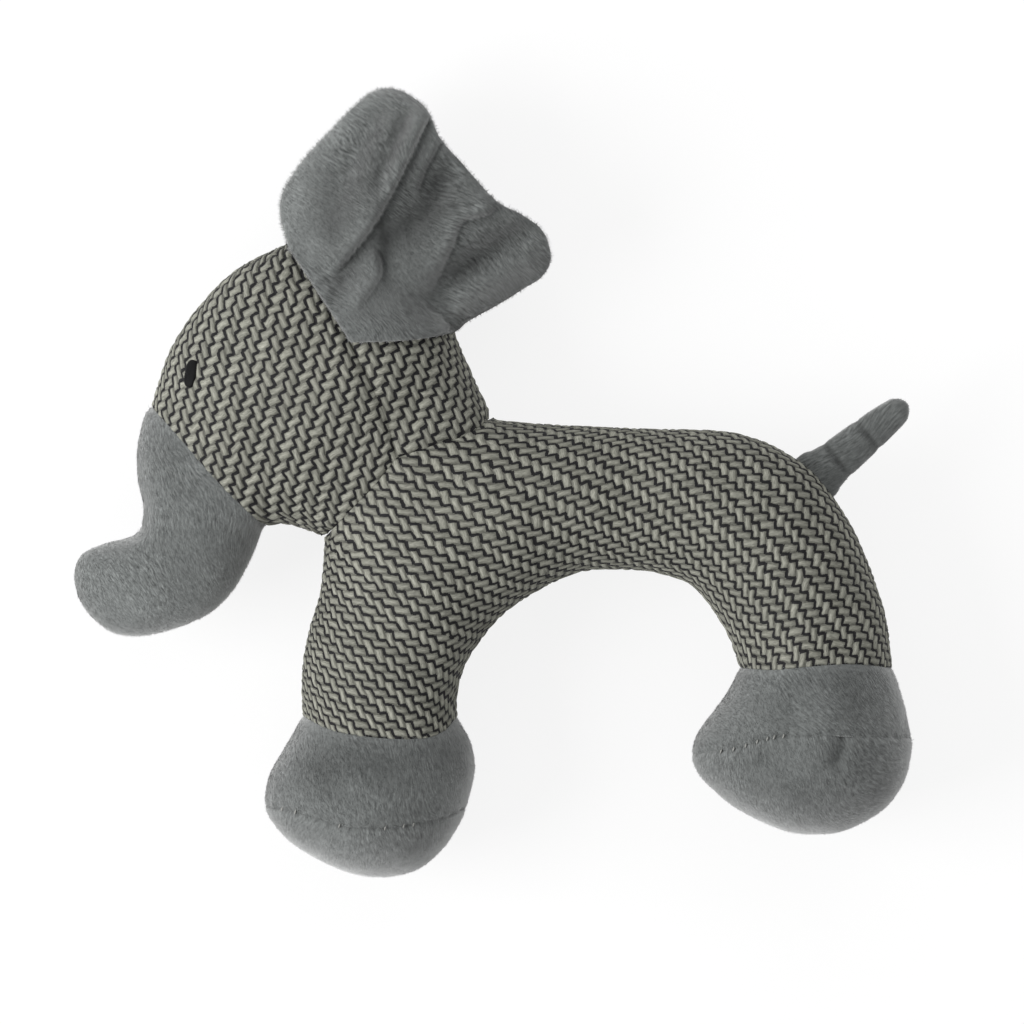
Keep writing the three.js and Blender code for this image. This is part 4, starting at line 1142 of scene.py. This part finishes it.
def cover(name, side, cloth, nap=None):
    """A panel of one side: the skin between its seams, tucked in where it is sewn."""
    panel, sign = PANELS[name], SIDES[side]
    step = (cloth.plush_step if nap else cloth.woven_step) / MM
    xy, stretches = panel_places(panel, step)
    outline = [np.isin(names, list(OUTLINE)) for names in stretches]
    height = side_height(xy, sign)
    for column, drawn in zip((0, -1), outline):
        height[drawn, column] = 0
    points = at_height(xy, sign * height)
    normal, turn = outward_facing(points, [0, 0, sign])
    depths = [np.array([tuck(each, cloth) for each in names])[:, None] for names in stretches]
    for key, border in (("start", xy[:1]), ("end", xy[-1:])):
        depths.append(None if panel[key] is None else tuck(panel[key].lstrip("-"), cloth, border))
    points = sewn(points, normal, depths)
    if nap:
        flat = laid_flat(points, normal)
        maps = nap.maps(points[..., :2], flat)
    else:
        base = xy.shape[1] // 2 if panel["edges"] == "both" else xy.shape[1] - 1
        flat = flat_pattern(points, base)
        grain = (body_grain if name == "body" else head_grain)(flat)
        grain = grain + WOBBLE * np.stack([waves(flat, WOBBLE_SIZE, seed) for seed in WOBBLE_SEEDS], -1)
        points = woven(points, normal, grain, cloth)
        maps = {"grain": grain}

    def bordered(field, inward):
        left = np.where(outline[0][:, None], field[:, 0], field[:, 0] - inward[:, 0])
        right = np.where(outline[1][:, None], field[:, -1], field[:, -1] - inward[:, -1])
        start = None if panel["start"] is None else field[0] - inward[0]
        end = None if panel["end"] is None else field[-1] - inward[-1]
        return turned_in(field, left, right, start, end)

    shell = over_floor(bordered(points, TURNED_IN * normal) + [0, 0, MIDDLE])
    maps = {key: bordered(field, 0 * field) for key, field in maps.items()}
    faces = grid_faces(*shell.shape[:2], turn)
    stuff = material("plush_backing" if nap else "woven_tweed", cloth)
    piece = make_piece(f"{name}_{side}_cloth", shell, faces, stuff, maps)
    if nap:
        piece.data.set_sharp_from_angle(angle=SEAM_ANGLE)
    joined(piece, "body", f"{name}_{side}")
    return points + [0, 0, MIDDLE], normal, flat


def plush_panel(name, side, cloth):
    """A plush panel and its pile."""
    nap = nap_of(name, side)
    add_pile(f"{name}_{side}_pile", "body", cover(name, side, cloth, nap), nap, cloth, nap.seed)


# A pucker in the near side of the rear sole.
PUCKER = [(116.2, -84.5), (115.9, -88), (114.8, -91.7)]
PUCKER_DEPTH, PUCKER_WIDTH = 1.6, 2.4
PUCKER_FULL = 8  # height over the middle plane from which it has its full depth


def sole(name, cloth):
    """A boot's sole: the lens between its seam and the outline on the near side, round to the far side."""
    xy, _ = panel_places(PANELS[name], cloth.plush_step / MM)
    near, far = (at_height(xy, k * side_height(xy, k)) for k in (1, -1))
    near[:, -1, 2] = 0
    points = np.concatenate([near, far[:, -2::-1]], axis=1)
    normal, turn = outward_facing(points, points * [0, 0, 1])
    depth = tuck(PANELS[name]["left"][0], cloth, xy[:, :1])
    points = sewn(points, normal, (depth, depth, None, None))
    if name == "rear_boot_sole":
        off, _ = from_line(points[..., :2], PUCKER)
        near_side = np.clip(points[..., 2] / PUCKER_FULL, 0, 1)
        fold = PUCKER_DEPTH * np.exp(-((off / PUCKER_WIDTH) ** 2)) * near_side
        points = points - normal * fold[..., None]
    skin = points + [0, 0, MIDDLE]
    skirts = (skin[:, 0] - TURNED_IN * normal[:, 0], skin[:, -1] - TURNED_IN * normal[:, -1])
    shell = over_floor(turned_in(skin, *skirts))
    nap = nap_of(name)
    middle = points.shape[1] // 2
    run = np.broadcast_to(run_along(points)[:, middle:middle + 1], points.shape[:2])
    over = run_across(points)
    flat = np.stack([run, over[:, middle:middle + 1] - over], -1)
    maps = nap.maps(shell[..., :2], turned_in(flat, flat[:, 0], flat[:, -1]))
    faces = grid_faces(*shell.shape[:2], turn)
    piece = make_piece(f"{name}_cloth", shell, faces, material("plush_backing", cloth), maps)
    piece.data.set_sharp_from_angle(angle=SEAM_ANGLE)
    joined(piece, "body", name)
    add_pile(f"{name}_pile", "body", (skin, normal, flat), nap, cloth, nap.seed)


# Stitches that show at the soles' seams: how far along the seam each one is.
STITCHES_AT = {
    "front_sole": (5.6, 10.2, 25.6, 40.9, 47.1, 50.4),
    "rear_sole": (9.4, 13.6, 17.8, 21.8, 25.3, 27.6, 30.7),
}
STITCH_WAY, STITCH_LONG, STITCH_RADIUS, STITCH_ARCH = np.radians(72), 1.8, 0.26, 0.3
STITCH_RINGS, STITCH_SIDES = 7, 8


def sole_stitches(cloth):
    """Short stitches across the soles' seams: spindles along a slanting line, thickest in the middle."""
    along, turn = np.linspace(-1, 1, STITCH_RINGS), np.linspace(0, 2 * np.pi, STITCH_SIDES + 1)
    middles = []
    for seam, places in STITCHES_AT.items():
        middles.append(resampled(stretch(seam, FINE_POINTS), np.array(places) / stretch_length(seam)))
    middle = np.concatenate(middles)[:, None, None]
    way = np.array([np.cos(STITCH_WAY), np.sin(STITCH_WAY)])
    radius = STITCH_RADIUS * np.sqrt(1 - along**2)[:, None, None]
    xy = middle + STITCH_LONG / 2 * along[:, None, None] * way
    xy = xy + radius * np.cos(turn)[:, None] * [-way[1], way[0]]
    arch = STITCH_ARCH * (1 - along**2)[:, None] + radius[..., 0] * np.sin(turn)
    points = at_height(xy, side_height(xy, 1) + arch) + [0, 0, MIDDLE]
    points[:, :, -1] = points[:, :, 0]
    each = np.arange(len(points))[:, None, None] * along.size * turn.size
    faces = (grid_faces(along.size, turn.size)[None] + each).reshape(-1, 4)
    piece = make_piece("sole_stitches_thread", points, faces, material("sole_thread", cloth))
    joined(piece, "body", None)


# An ear's rim in the view from above, from the top of its seam round to the seam's lower end.
EAR_RIM = [
    (-67.5, 77.7), (-70.5, 92.7), (-64, 105.8), (-53.7, 117.2), (-42.5, 128.3), (-35.8, 131.1),
    (-29.4, 129.9), (-22, 124.3), (-17.5, 114.7), (-10.4, 106.5), (1, 93.9), (9.9, 89), (16.8, 83.6),
    (19.4, 75), (16.4, 68.8), (10.6, 65), (1.8, 59.5), (-7.7, 54.3), (-13.6, 50), (-25, 47.6),
    (-35.8, 46.8), (-47, 46.5),
]
EAR_HIGHEST = {1: 36.5, -1: 32.8}  # the far ear has the floor under it
EAR_TOP, EAR_TIP = (-35.8, 131.1), (19.4, 75)
EAR_SEAM_TOP, EAR_SEAM_WAY, EAR_SEAM_LENGTH = (-61.7, 68.6), np.radians(-55.4), 27.6
EAR_BEND = (0.5, 10)  # distances from its seam of the two places passed on as the ear's bend
EAR_LONG, EAR_WIDE = 92, 104  # lengths of cloth that its grid is drawn for
EAR_RIM_POINTS, EAR_EDGE_POINTS = 800, 500  # points of the rim that the grid is drawn in and measured from
DOWN_EASED, ACROSS_EASED = 0.25, 0.3  # how much closer together its points are toward the rim

# An ear's sheet before its folds: its height and slope at the seam, and how far it falls over a reach
# outward, past the seam's top, past its lower half and behind the first fold.
EAR_SEAM_HEIGHT, EAR_SLOPE = 27.0, 0.186
EAR_FALL, EAR_REACH = 5.6, 70
EAR_TOP_FALL, EAR_TOP_REACH = 9.1, 39
EAR_LOW_FALL, EAR_LOW_REACH = 19, 28.2
EAR_BACK_FALL, EAR_BACK_REACH = 6.5, 38
EAR_HELD = 12  # distance from the seam over which its lower side comes free
EAR_CLEAR, EAR_FOLD_CLEAR = 3.6, 2.4  # room that the sheet and its folds keep over the head
EAR_SEWN_UP = 0.6  # most that its sewn edge stands over the head
EAR_FLOOR = 0.7  # least height over the floor
EAR_ROLL = 1.7  # width of the rolled rim, as a share of half its thickness
RIM_UPRIGHT, RIM_WIDTH = 2.5, 1.2  # how much more the pile stands up at the rim, and how near to it

# Folds of the ear: each line has its high cloth on the left. High side's rise and width, low side's fall
# and width, how softly the edge is rounded, how fast it starts and how much of it is left at its end.
EAR_STEPS = [
    ([(-55.2, 65.7), (-49.5, 71.7), (-40.2, 83.3), (-33.8, 94), (-27.2, 107), (-21.8, 118.7), (-18, 125)],
     4.5, 14, 3.0, 5, 1.1, 5, 0.35),
    ([(-24.8, 94.8), (-22.3, 102.5), (-17.8, 111.3), (-15, 116)], 2.0, 4.5, 1.8, 4, 1.1, 5, 0.35),
    ([(-45.2, 56), (-39.5, 63), (-36.3, 69), (-36.8, 74.5), (-39.5, 79)], 2.6, 6, 2.0, 3.5, 1.4, 5, 0),
    ([(-22.3, 57.8), (-16.5, 70.7), (-12.7, 78.3), (-10.8, 84), (-8.2, 86.8), (-1.2, 88.7), (4, 93)],
     2.6, 7, 2.0, 4.5, 2.2, 2.2, 0.35),
]

# Hollows of the ear, and a ridge where the depth is negative: line, depth and width.
EAR_VALLEYS = [
    ([(-27.5, 126), (-30.5, 118), (-34.4, 109.6), (-37.2, 99), (-39, 88)], 3.2, 3.0),
    ([(-36, 128), (-41.5, 116), (-47.6, 105.3), (-51.1, 95.7), (-52.5, 80)], 3.2, 5),
    ([(-12.2, 107), (-20.4, 93.5), (-29.9, 83.3), (-37.5, 81.3)], 3.4, 4.5),
    ([(16.5, 86.5), (7.1, 81.4), (-0.6, 77.7), (-8.9, 72.5), (-17.2, 64.8), (-24.8, 59.1), (-32.5, 55.3)],
     3.6, 4.5),
    ([(17, 75), (3.2, 68.3), (-8, 61), (-18, 54)], -2.6, 5),
    ([(-52, 70), (-53.5, 62), (-49.5, 54)], 1.5, 4),
]
STEP_EDGE = 0.8  # how far a fold's hollow reaches into its high side
STEP_END, VALLEY_START, VALLEY_END = 6, (6, 0.3), 3  # how fast folds fade at their ends


def eased(share):
    """The share held between 0 and 1, with a soft start and end.

    It is three times its square less twice its cube.
    """
    share = np.clip(share, 0, 1)
    return share**2 * (3 - 2 * share)


def kept_over(height, least, sharp):
    """The height, rounded off so that it stays over the least one."""
    return height + np.log1p(np.exp(np.clip((least - height) * sharp, -30, 30))) / sharp


def ear_height(xy, sign):
    """Height of the middle of an ear's cloth: a sheet that falls away from its seam, with folds added.

    A step is a rounded edge on its high side and a hollow on its low side; a valley is a bell curve.
    """
    c, s = np.cos(EAR_SEAM_WAY), np.sin(EAR_SEAM_WAY)
    off = xy - EAR_SEAM_TOP
    down = off[..., 0] * c + off[..., 1] * s
    out = off[..., 1] * c - off[..., 0] * s
    free = np.clip(out / EAR_HELD, 0, 1)
    low = np.maximum(0, down - EAR_SEAM_LENGTH / 2) / EAR_LOW_REACH
    height = EAR_SEAM_HEIGHT + EAR_SLOPE * down - EAR_FALL * out / EAR_REACH
    height = height - EAR_TOP_FALL * (np.minimum(0, down) / EAR_TOP_REACH) ** 2
    height = height - EAR_LOW_FALL * low**2 * free
    past, _ = from_line(xy, EAR_STEPS[0][0])
    height = height - EAR_BACK_FALL * np.tanh(np.maximum(-past, 0) / EAR_BACK_REACH)
    skin = SKIN.height(xy)
    height = kept_over(height, skin + EAR_CLEAR, sharp=1.5)
    for line, rise, wide, fall, narrow, soft, start, left in EAR_STEPS:
        away, along = from_line(xy, line)
        fade = eased(along * start) * eased((1 - along) * STEP_END + left)
        inside = np.maximum(away, 0)
        high = rise * (1 - np.exp(-inside / soft)) * np.exp(-((away / wide) ** 2))
        deep = -fall * np.exp(-np.abs(away) / narrow)
        height = height + fade * np.where(away > 0, high - fall * np.exp(-inside / STEP_EDGE), deep)
    for line, depth, wide in EAR_VALLEYS:
        away, along = from_line(xy, line)
        fade = eased(along * VALLEY_START[0] + VALLEY_START[1]) * eased((1 - along) * VALLEY_END)
        height = height - fade * depth * np.exp(-((away / wide) ** 2))
    height = kept_over(height, skin + EAR_FOLD_CLEAR, sharp=3.0)
    return -kept_over(-height, -EAR_HIGHEST[sign], sharp=1.2)


def ear_grid(step):
    """Places of an ear in the view from above, and the distance of each to the rim."""
    rim = curve(EAR_RIM, EAR_RIM_POINTS)
    top = ((rim - EAR_TOP) ** 2).sum(1).argmin()
    tip = ((rim - EAR_TIP) ** 2).sum(1).argmin()
    rows, columns = round(EAR_LONG / step), round(EAR_WIDE / step)
    even = np.linspace(0, 1, rows)
    down = (1 - DOWN_EASED) * even + DOWN_EASED * np.sin(np.pi / 2 * even)
    across = (1 - ACROSS_EASED) * np.linspace(0, 1, columns) + ACROSS_EASED * round_steps("both", columns)
    left, right = resampled(rim[:top + 1], down), resampled(rim[tip:][::-1], down)
    start = (1 - across)[:, None] * rim[0] + across[:, None] * rim[-1]
    xy = patch(left, right, start, resampled(rim[top:tip + 1], across), across, down)
    edge = np.abs(from_line(xy, EAR_RIM, EAR_EDGE_POINTS)[0])
    edge[:, 0] = edge[:, -1] = edge[-1] = 0
    return xy, edge


def ear_layer(layer, side, cloth):
    """One layer of an ear: the folded sheet, half the rim's thickness over or under its middle."""
    sign, lift = SIDES[side], 1 if layer == "outer" else -1
    xy, edge = ear_grid(cloth.ear_step / MM)
    half = cloth.ear_rim / MM / 2
    thick = half * np.sqrt(1 - (1 - np.clip(edge / (half * EAR_ROLL), 0, 1)) ** 2)
    height = ear_height(xy, sign) + lift * thick
    height[0] = np.minimum(height[0], SKIN.height(xy[0]) + EAR_SEWN_UP)
    points = at_height(xy, sign * height)
    normal, turn = outward_facing(points, [0, 0, sign * lift])
    points = over_floor(points + [0, 0, MIDDLE], EAR_FLOOR)
    nap = nap_of(f"ear_{layer}", side)
    name, body = f"ear_{layer}_{side}", f"{side}_ear"
    out = np.array([-np.sin(EAR_SEAM_WAY), np.cos(EAR_SEAM_WAY)])
    bend = [np.array(EAR_SEAM_TOP) + reach * out for reach in EAR_BEND]
    faces = grid_faces(*points.shape[:2], turn)
    backing = material("plush_backing", cloth)
    piece = make_piece(f"{name}_cloth", points, faces, backing, nap.maps(xy, xy))
    joined(piece, body, name, bend)
    upright = RIM_UPRIGHT * np.exp(-edge / RIM_WIDTH)
    add_pile(f"{name}_pile", body, (points, normal, xy), nap, cloth, nap.seed, upright, bend=bend)


TAIL_ROOT, TAIL_TIP = (103.9, -1.1), (138.1, 26.7)
TAIL_STEP, TAIL_ROUND = 0.7, 42  # distance between its points, and cloth round it
TAIL_CROWDED = 1.3  # how many more rows it has, as they crowd toward its tip
TAIL_PILE, TAIL_PILE_SEED = 0.5, 92  # its pile's length, as a share of the other pieces'
TAIL_BEND = (0.19, 0.42)  # shares of its length of the two places passed on as the tail's bend
TAIL_HALF_WIDTHS = [
    (0, 8.6), (0.14, 8.8), (0.22, 7.6), (0.33, 7.0), (0.5, 6.5), (0.62, 6.1), (0.8, 5.3), (0.93, 4.4),
    (1, 3.5),
]
TAIL_DEPTH, TAIL_THINNED = 4.2, 0.2  # half its depth at the root, and the share that it has lost at the tip
TAIL_CLOSED = 0.1  # share of its length in which its tip is rounded off
TAIL_SQUARE = 0.85  # power that squares its section

# Creases across the tail: where along it, and their length, depth and pinch.
TAIL_CREASES, CREASE_LONG, CREASE_DEPTH, CREASE_PINCH = (0.315, 0.62), 0.03, 1.3, 0.35


def tail_points():
    """The tail as a flat tube: a width and a depth along a straight middle line, pinched at two creases."""
    root, tip = np.array(TAIL_ROOT), np.array(TAIL_TIP)
    reach = np.linalg.norm(tip - root)
    s = np.sin(np.linspace(0, np.pi / 2, round(TAIL_CROWDED * reach / TAIL_STEP)))
    around = np.linspace(0, 2 * np.pi, round(TAIL_ROUND / TAIL_STEP))
    profile = curve(TAIL_HALF_WIDTHS, MEASURE_POINTS)
    width = np.interp(s, profile[:, 0], profile[:, 1])
    closing = np.sqrt(np.clip(1 - np.clip((s - (1 - TAIL_CLOSED)) / TAIL_CLOSED, 0, 1) ** 2, 0, 1))
    depth = TAIL_DEPTH * (1 - TAIL_THINNED * s)
    for crease in TAIL_CREASES:
        pinch = np.exp(-(((s - crease) / CREASE_LONG) ** 2))
        depth = depth - CREASE_DEPTH * pinch
        width = width - CREASE_PINCH * pinch
    way = (tip - root) / reach
    aside = np.array([-way[1], way[0]])
    middle = root + s[:, None] * reach * way
    flat = np.sign(np.cos(around)) * np.abs(np.cos(around)) ** TAIL_SQUARE
    xy = middle[:, None] + (closing * width)[:, None, None] * flat[None, :, None] * aside
    points = at_height(xy, (closing * depth)[:, None] * np.sin(around)[None])
    points[:, -1] = points[:, 0]
    points[-1] = [*tip, 0]
    return points


def tail(cloth):
    """The tail and its pile."""
    points = tail_points()
    normal, turn = outward_facing(points, points - points.mean(1, keepdims=True))
    normal[-1] = normal[-2]
    points = points + [0, 0, MIDDLE]
    flat = points[..., :2]
    nap = nap_of("tail")
    bend = [np.array(TAIL_ROOT) + share * np.subtract(TAIL_TIP, TAIL_ROOT) for share in TAIL_BEND]
    faces = grid_faces(*points.shape[:2], turn)
    piece = make_piece("tail_cloth", points, faces, material("plush_backing", cloth), nap.maps(flat, flat))
    joined(piece, "tail", "tail", bend)
    grids = (points, normal, flat)
    add_pile("tail_pile", "tail", grids, nap, cloth, TAIL_PILE_SEED, pile_share=TAIL_PILE, bend=bend)


FILL_DRAWN_IN, FILL_TUFTS = 3.2, 0.5  # how far the stuffing stays back from a packed one, and its tufts
FILL_ROOM, FILL_LEAST = 3.0, 0.3  # room under the skin, and the least height where there isn't that much
TUFT_SIZES, TUFT_SEEDS = (9, 8), (81, 82)
FILL_CUTS = 2  # cuts in each packed edge


def stuffed(node, cloth):
    """Loose stuffing in place of a packed one: its surface drawn in from the covers and made tufty."""
    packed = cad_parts[node]
    shape = bmesh.new()
    shape.from_mesh(packed.data)
    shape.transform(packed.matrix_world)
    bmesh.ops.remove_doubles(shape, verts=shape.verts, dist=1e-6)
    bmesh.ops.subdivide_edges(shape, edges=shape.edges, cuts=FILL_CUTS, use_grid_fill=True)
    bmesh.ops.triangulate(shape, faces=shape.faces)
    shape.normal_update()
    points = np.array([v.co[:] for v in shape.verts]) / MM - [0, 0, MIDDLE]
    normal = np.array([v.normal[:] for v in shape.verts])
    faces = np.array([[v.index for v in f.verts] for f in shape.faces])
    shape.free()
    views = (points[:, :2], points[:, 1:])
    tufts = sum(waves(*each) for each in zip(views, TUFT_SIZES, TUFT_SEEDS))
    points = points - normal * (FILL_DRAWN_IN + FILL_TUFTS * tufts)[:, None]
    room = np.maximum(SKIN.height(points[:, :2]) - FILL_ROOM, FILL_LEAST)
    points[:, 2] = np.clip(points[:, 2], -room, room)
    piece = make_piece(f"{node}_fibre", points + [0, 0, MIDDLE], faces, material("stuffing_fibre", cloth))
    joined(piece, "body", node)


EYE_AT, EYE_WAY = (-100.1, 36.3), np.radians(80)
EYE_LONG, EYE_WIDE, EYE_RISE = 9.2, 3.6, 1.1
EYE_SQUARE = 0.75  # power that squares its oval
EYE_RINGS, EYE_SPOKES = 22, 120
EYE_STITCH, EYE_RIDGE = 0.5, 0.18  # width of a stitch, and the share of the rise that its ridge takes
EYE_RIDGE_ROUND = 0.6  # power of a ridge's section
EYE_OVER, EYE_EDGE = 0.25, 0.35  # how far it stands over the head, and how far its edge goes down
EYE_PROBE = 0.5  # distance over which the head's slope is taken


def eye(side, cloth):
    """A squarish oval of satin stitches on the head: a low dome with a ridge for each stitch across it."""
    sign = SIDES[side]
    r = np.sin(np.linspace(0, np.pi / 2, EYE_RINGS))[:, None]
    turn = np.linspace(0, 2 * np.pi, EYE_SPOKES + 1)[None]
    squared = [np.sign(k) * np.abs(k) ** EYE_SQUARE for k in (np.cos(turn), np.sin(turn))]
    long, wide = EYE_LONG / 2 * r * squared[0], EYE_WIDE / 2 * r * squared[1]
    c, s = np.cos(EYE_WAY), np.sin(EYE_WAY)
    xy = np.stack([long * c - wide * s, long * s + wide * c], -1) + EYE_AT
    skin = at_height(xy, side_height(xy, sign))
    steps = np.array([[EYE_PROBE, 0], [0, EYE_PROBE]])
    slope = [SKIN.height(xy + d) - SKIN.height(xy - d) for d in steps]
    normal = unit(np.stack([-slope[0], -slope[1], np.ones_like(slope[0])], -1))
    ridge = np.abs(np.sin(np.pi * long / EYE_STITCH)) ** EYE_RIDGE_ROUND
    ridge = 1 - EYE_RIDGE + EYE_RIDGE * ridge
    dome = EYE_RISE * np.sqrt(np.maximum(1 - r**2, 0)) * ridge
    dome[-1] -= EYE_EDGE
    points = (skin + normal * (dome + EYE_OVER)[..., None]) * [1, 1, sign] + [0, 0, MIDDLE]
    points[:, -1] = points[:, 0]
    faces = grid_faces(*points.shape[:2], sign)
    maps = {"stitch": np.stack([long, wide], -1)}
    piece = make_piece(f"eye_{side}_stitching", points, faces, material("eye_thread", cloth), maps)
    joined(piece, "body", f"eye_{side}")


class TOY_OT_body(bpy.types.Operator):
    """Sews the woven body, one arch on each side"""

    bl_idname = "toy.body"
    bl_label = "Body"

    def execute(self, context):
        for side in SIDES:
            cover("body", side, context.scene.toy_cloth)
        return {"FINISHED"}


class TOY_OT_head(bpy.types.Operator):
    """Sews the woven head, a front and a back panel on each side"""

    bl_idname = "toy.head"
    bl_label = "Head"

    def execute(self, context):
        for side in SIDES:
            cover("head_front", side, context.scene.toy_cloth)
            cover("head_back", side, context.scene.toy_cloth)
        return {"FINISHED"}


class TOY_OT_trunk(bpy.types.Operator):
    """Sews the plush trunk"""

    bl_idname = "toy.trunk"
    bl_label = "Trunk"

    def execute(self, context):
        for side in SIDES:
            plush_panel("trunk", side, context.scene.toy_cloth)
        return {"FINISHED"}


class TOY_OT_boots(bpy.types.Operator):
    """Sews the plush boots with their soles"""

    bl_idname = "toy.boots"
    bl_label = "Boots"

    def execute(self, context):
        cloth = context.scene.toy_cloth
        for side in SIDES:
            plush_panel("front_boot", side, cloth)
            plush_panel("rear_boot", side, cloth)
        sole("front_boot_sole", cloth)
        sole("rear_boot_sole", cloth)
        sole_stitches(cloth)
        return {"FINISHED"}


class TOY_OT_ears(bpy.types.Operator):
    """Sews both ears, each of an outer and an inner layer"""

    bl_idname = "toy.ears"
    bl_label = "Ears"

    def execute(self, context):
        for side in SIDES:
            ear_layer("outer", side, context.scene.toy_cloth)
            ear_layer("inner", side, context.scene.toy_cloth)
        return {"FINISHED"}


class TOY_OT_tail(bpy.types.Operator):
    """Sews the plush tail"""

    bl_idname = "toy.tail"
    bl_label = "Tail"

    def execute(self, context):
        tail(context.scene.toy_cloth)
        return {"FINISHED"}


class TOY_OT_eyes(bpy.types.Operator):
    """Stitches both eyes"""

    bl_idname = "toy.eyes"
    bl_label = "Eyes"

    def execute(self, context):
        for side in SIDES:
            eye(side, context.scene.toy_cloth)
        return {"FINISHED"}


FILLS = ("head_fill", "trunk_fill", "body_fill_near", "body_fill_far", "front_boot_fill", "rear_boot_fill")


class TOY_OT_stuffing(bpy.types.Operator):
    """Fills the head, trunk, body and boots with loose fibre"""

    bl_idname = "toy.stuffing"
    bl_label = "Stuffing"

    def execute(self, context):
        for node in FILLS:
            stuffed(node, context.scene.toy_cloth)
        return {"FINISHED"}


PLASTICS = {
    "squeaker_plastic": ("squeaker_base", "squeaker_pleats", "squeaker_crown"),
    "reed_plastic": ("reed_plug", "reed"),
}


class TOY_OT_squeaker(bpy.types.Operator):
    """Gives the squeaker and its reed their plastics"""

    bl_idname = "toy.squeaker"
    bl_label = "Squeaker"

    def execute(self, context):
        for name, nodes in PLASTICS.items():
            for node in nodes:
                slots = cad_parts[node].data.materials
                slots.clear()
                slots.append(material(name, context.scene.toy_cloth))
        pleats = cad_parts["squeaker_pleats"]
        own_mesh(pleats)
        return {"FINISHED"}


# The stage: the photograph and the lens in pixels and millimetres, the rest in metres.
PHOTO_PIXELS, PIXELS_PER_MM = 1024, 3
PHOTO_MIDDLE = (6.5, -9.667)  # the place in the middle of the photograph
LENS, SENSOR, FARTHEST = 600, 36, 40
SKY = 0.55  # strength of the white surroundings
LAMPS = {"key": ((-1.35, -0.22, 1.13), 1.05, 33), "fill": ((0.3, 0.9, 0.9), 1.0, 4)}  # place, size, power
LIT_PLACE = (0, 0, 0.03)
FLOOR_HALF, FLOOR_AT = 4.0, -0.0004
FLOOR_GLOW = 0.85  # share of plain white that the floor shows to the camera


class TOY_OT_stage(bpy.types.Operator):
    """Sets the floor, the lights and the camera"""

    bl_idname = "toy.stage"
    bl_label = "Stage"

    def execute(self, context):
        scene = context.scene
        scene.view_settings.view_transform = "Standard"
        world = bpy.data.worlds.new("studio")
        scene.world = world
        world.use_nodes = True
        ground = world.node_tree.nodes["Background"].inputs
        ground["Color"].default_value = (1, 1, 1, 1)
        ground["Strength"].default_value = SKY
        self.floor(scene)
        for name, (place, size, power) in LAMPS.items():
            self.lamp(scene, name, place, size, power)
        lens = bpy.data.cameras.new("camera")
        lens.lens, lens.sensor_width, lens.clip_end = LENS, SENSOR, FARTHEST
        view = bpy.data.objects.new("camera", lens)
        scene.collection.objects.link(view)
        away = PHOTO_PIXELS / PIXELS_PER_MM * LENS / SENSOR
        view.location = Vector((*PHOTO_MIDDLE, MIDDLE + away)) * MM
        scene.camera = view
        return {"FINISHED"}

    def floor(self, scene):
        """A pale floor that the camera sees nearly white, with a soft shadow."""
        mesh = bpy.data.meshes.new("floor")
        sides = ((-1, -1), (1, -1), (1, 1), (-1, 1))
        corners = [(FLOOR_HALF * x, FLOOR_HALF * y, FLOOR_AT) for x, y in sides]
        mesh.from_pydata(corners, [], [(0, 1, 2, 3)])
        g = Graph("floor_paper")
        grain = g.ramp(g.noise(g.place(), 40.0), 0.3, 0.7, 0.88, 0.9)
        g.finish(g.grey(grain), 0.9, Specular_IOR_Level=0.1)
        path = g.tree.nodes.new("ShaderNodeLightPath").outputs
        seen = g.math("MAXIMUM", path["Is Camera Ray"], path["Is Glossy Ray"])
        seen = g.math("MAXIMUM", seen, path["Is Transmission Ray"])
        white = g.node("ShaderNodeEmission", {"Strength": 1.0})
        glow = g.math("MULTIPLY", seen, FLOOR_GLOW)
        mixed = g.node("ShaderNodeMixShader", {0: glow, 1: g.shader.outputs[0], 2: white})
        g.set(g.tree.nodes["Material Output"].inputs["Surface"], mixed)
        mesh.materials.append(g.material)
        floor = bpy.data.objects.new("floor", mesh)
        scene.collection.objects.link(floor)

    def lamp(self, scene, name, place, size, power):
        """A square lamp of that size turned to the toy."""
        light = bpy.data.lights.new(name, "AREA")
        light.size, light.energy = size, power
        lamp = bpy.data.objects.new(name, light)
        lamp.location = place
        lamp.rotation_euler = (Vector(LIT_PLACE) - lamp.location).to_track_quat("-Z", "Y").to_euler()
        scene.collection.objects.link(lamp)


OPERATORS = (
    TOY_OT_body, TOY_OT_head, TOY_OT_trunk, TOY_OT_boots, TOY_OT_ears, TOY_OT_tail, TOY_OT_eyes,
    TOY_OT_stuffing, TOY_OT_squeaker, TOY_OT_stage,
)


class TOY_PT_sewing(bpy.types.Panel):
    """Shows the cloth's sizes and colours, and a button for each step"""

    bl_idname = "TOY_PT_sewing"
    bl_label = "Plush elephant toy"
    bl_space_type = "VIEW_3D"
    bl_region_type = "UI"
    bl_category = "Toy"

    def draw(self, context):
        cloth = context.scene.toy_cloth
        for key in cloth.bl_rna.properties.keys():
            if key not in ("rna_type", "name"):
                self.layout.prop(cloth, key)
        for each in OPERATORS:
            self.layout.operator(each.bl_idname)


CLASSES = (ToyCloth, *OPERATORS, TOY_PT_sewing)


def register():
    for each in CLASSES:
        bpy.utils.register_class(each)
    bpy.types.Scene.toy_cloth = PointerProperty(type=ToyCloth)


def unregister():
    del bpy.types.Scene.toy_cloth
    for each in reversed(CLASSES):
        bpy.utils.unregister_class(each)


def main():
    """Sews the toy piece by piece."""
    register()
    bpy.ops.toy.body()
    bpy.ops.toy.head()
    bpy.ops.toy.trunk()
    bpy.ops.toy.boots()
    bpy.ops.toy.ears()
    bpy.ops.toy.tail()
    bpy.ops.toy.eyes()
    bpy.ops.toy.stuffing()
    bpy.ops.toy.squeaker()
    bpy.ops.toy.stage()


if __name__ == "__main__":
    main()
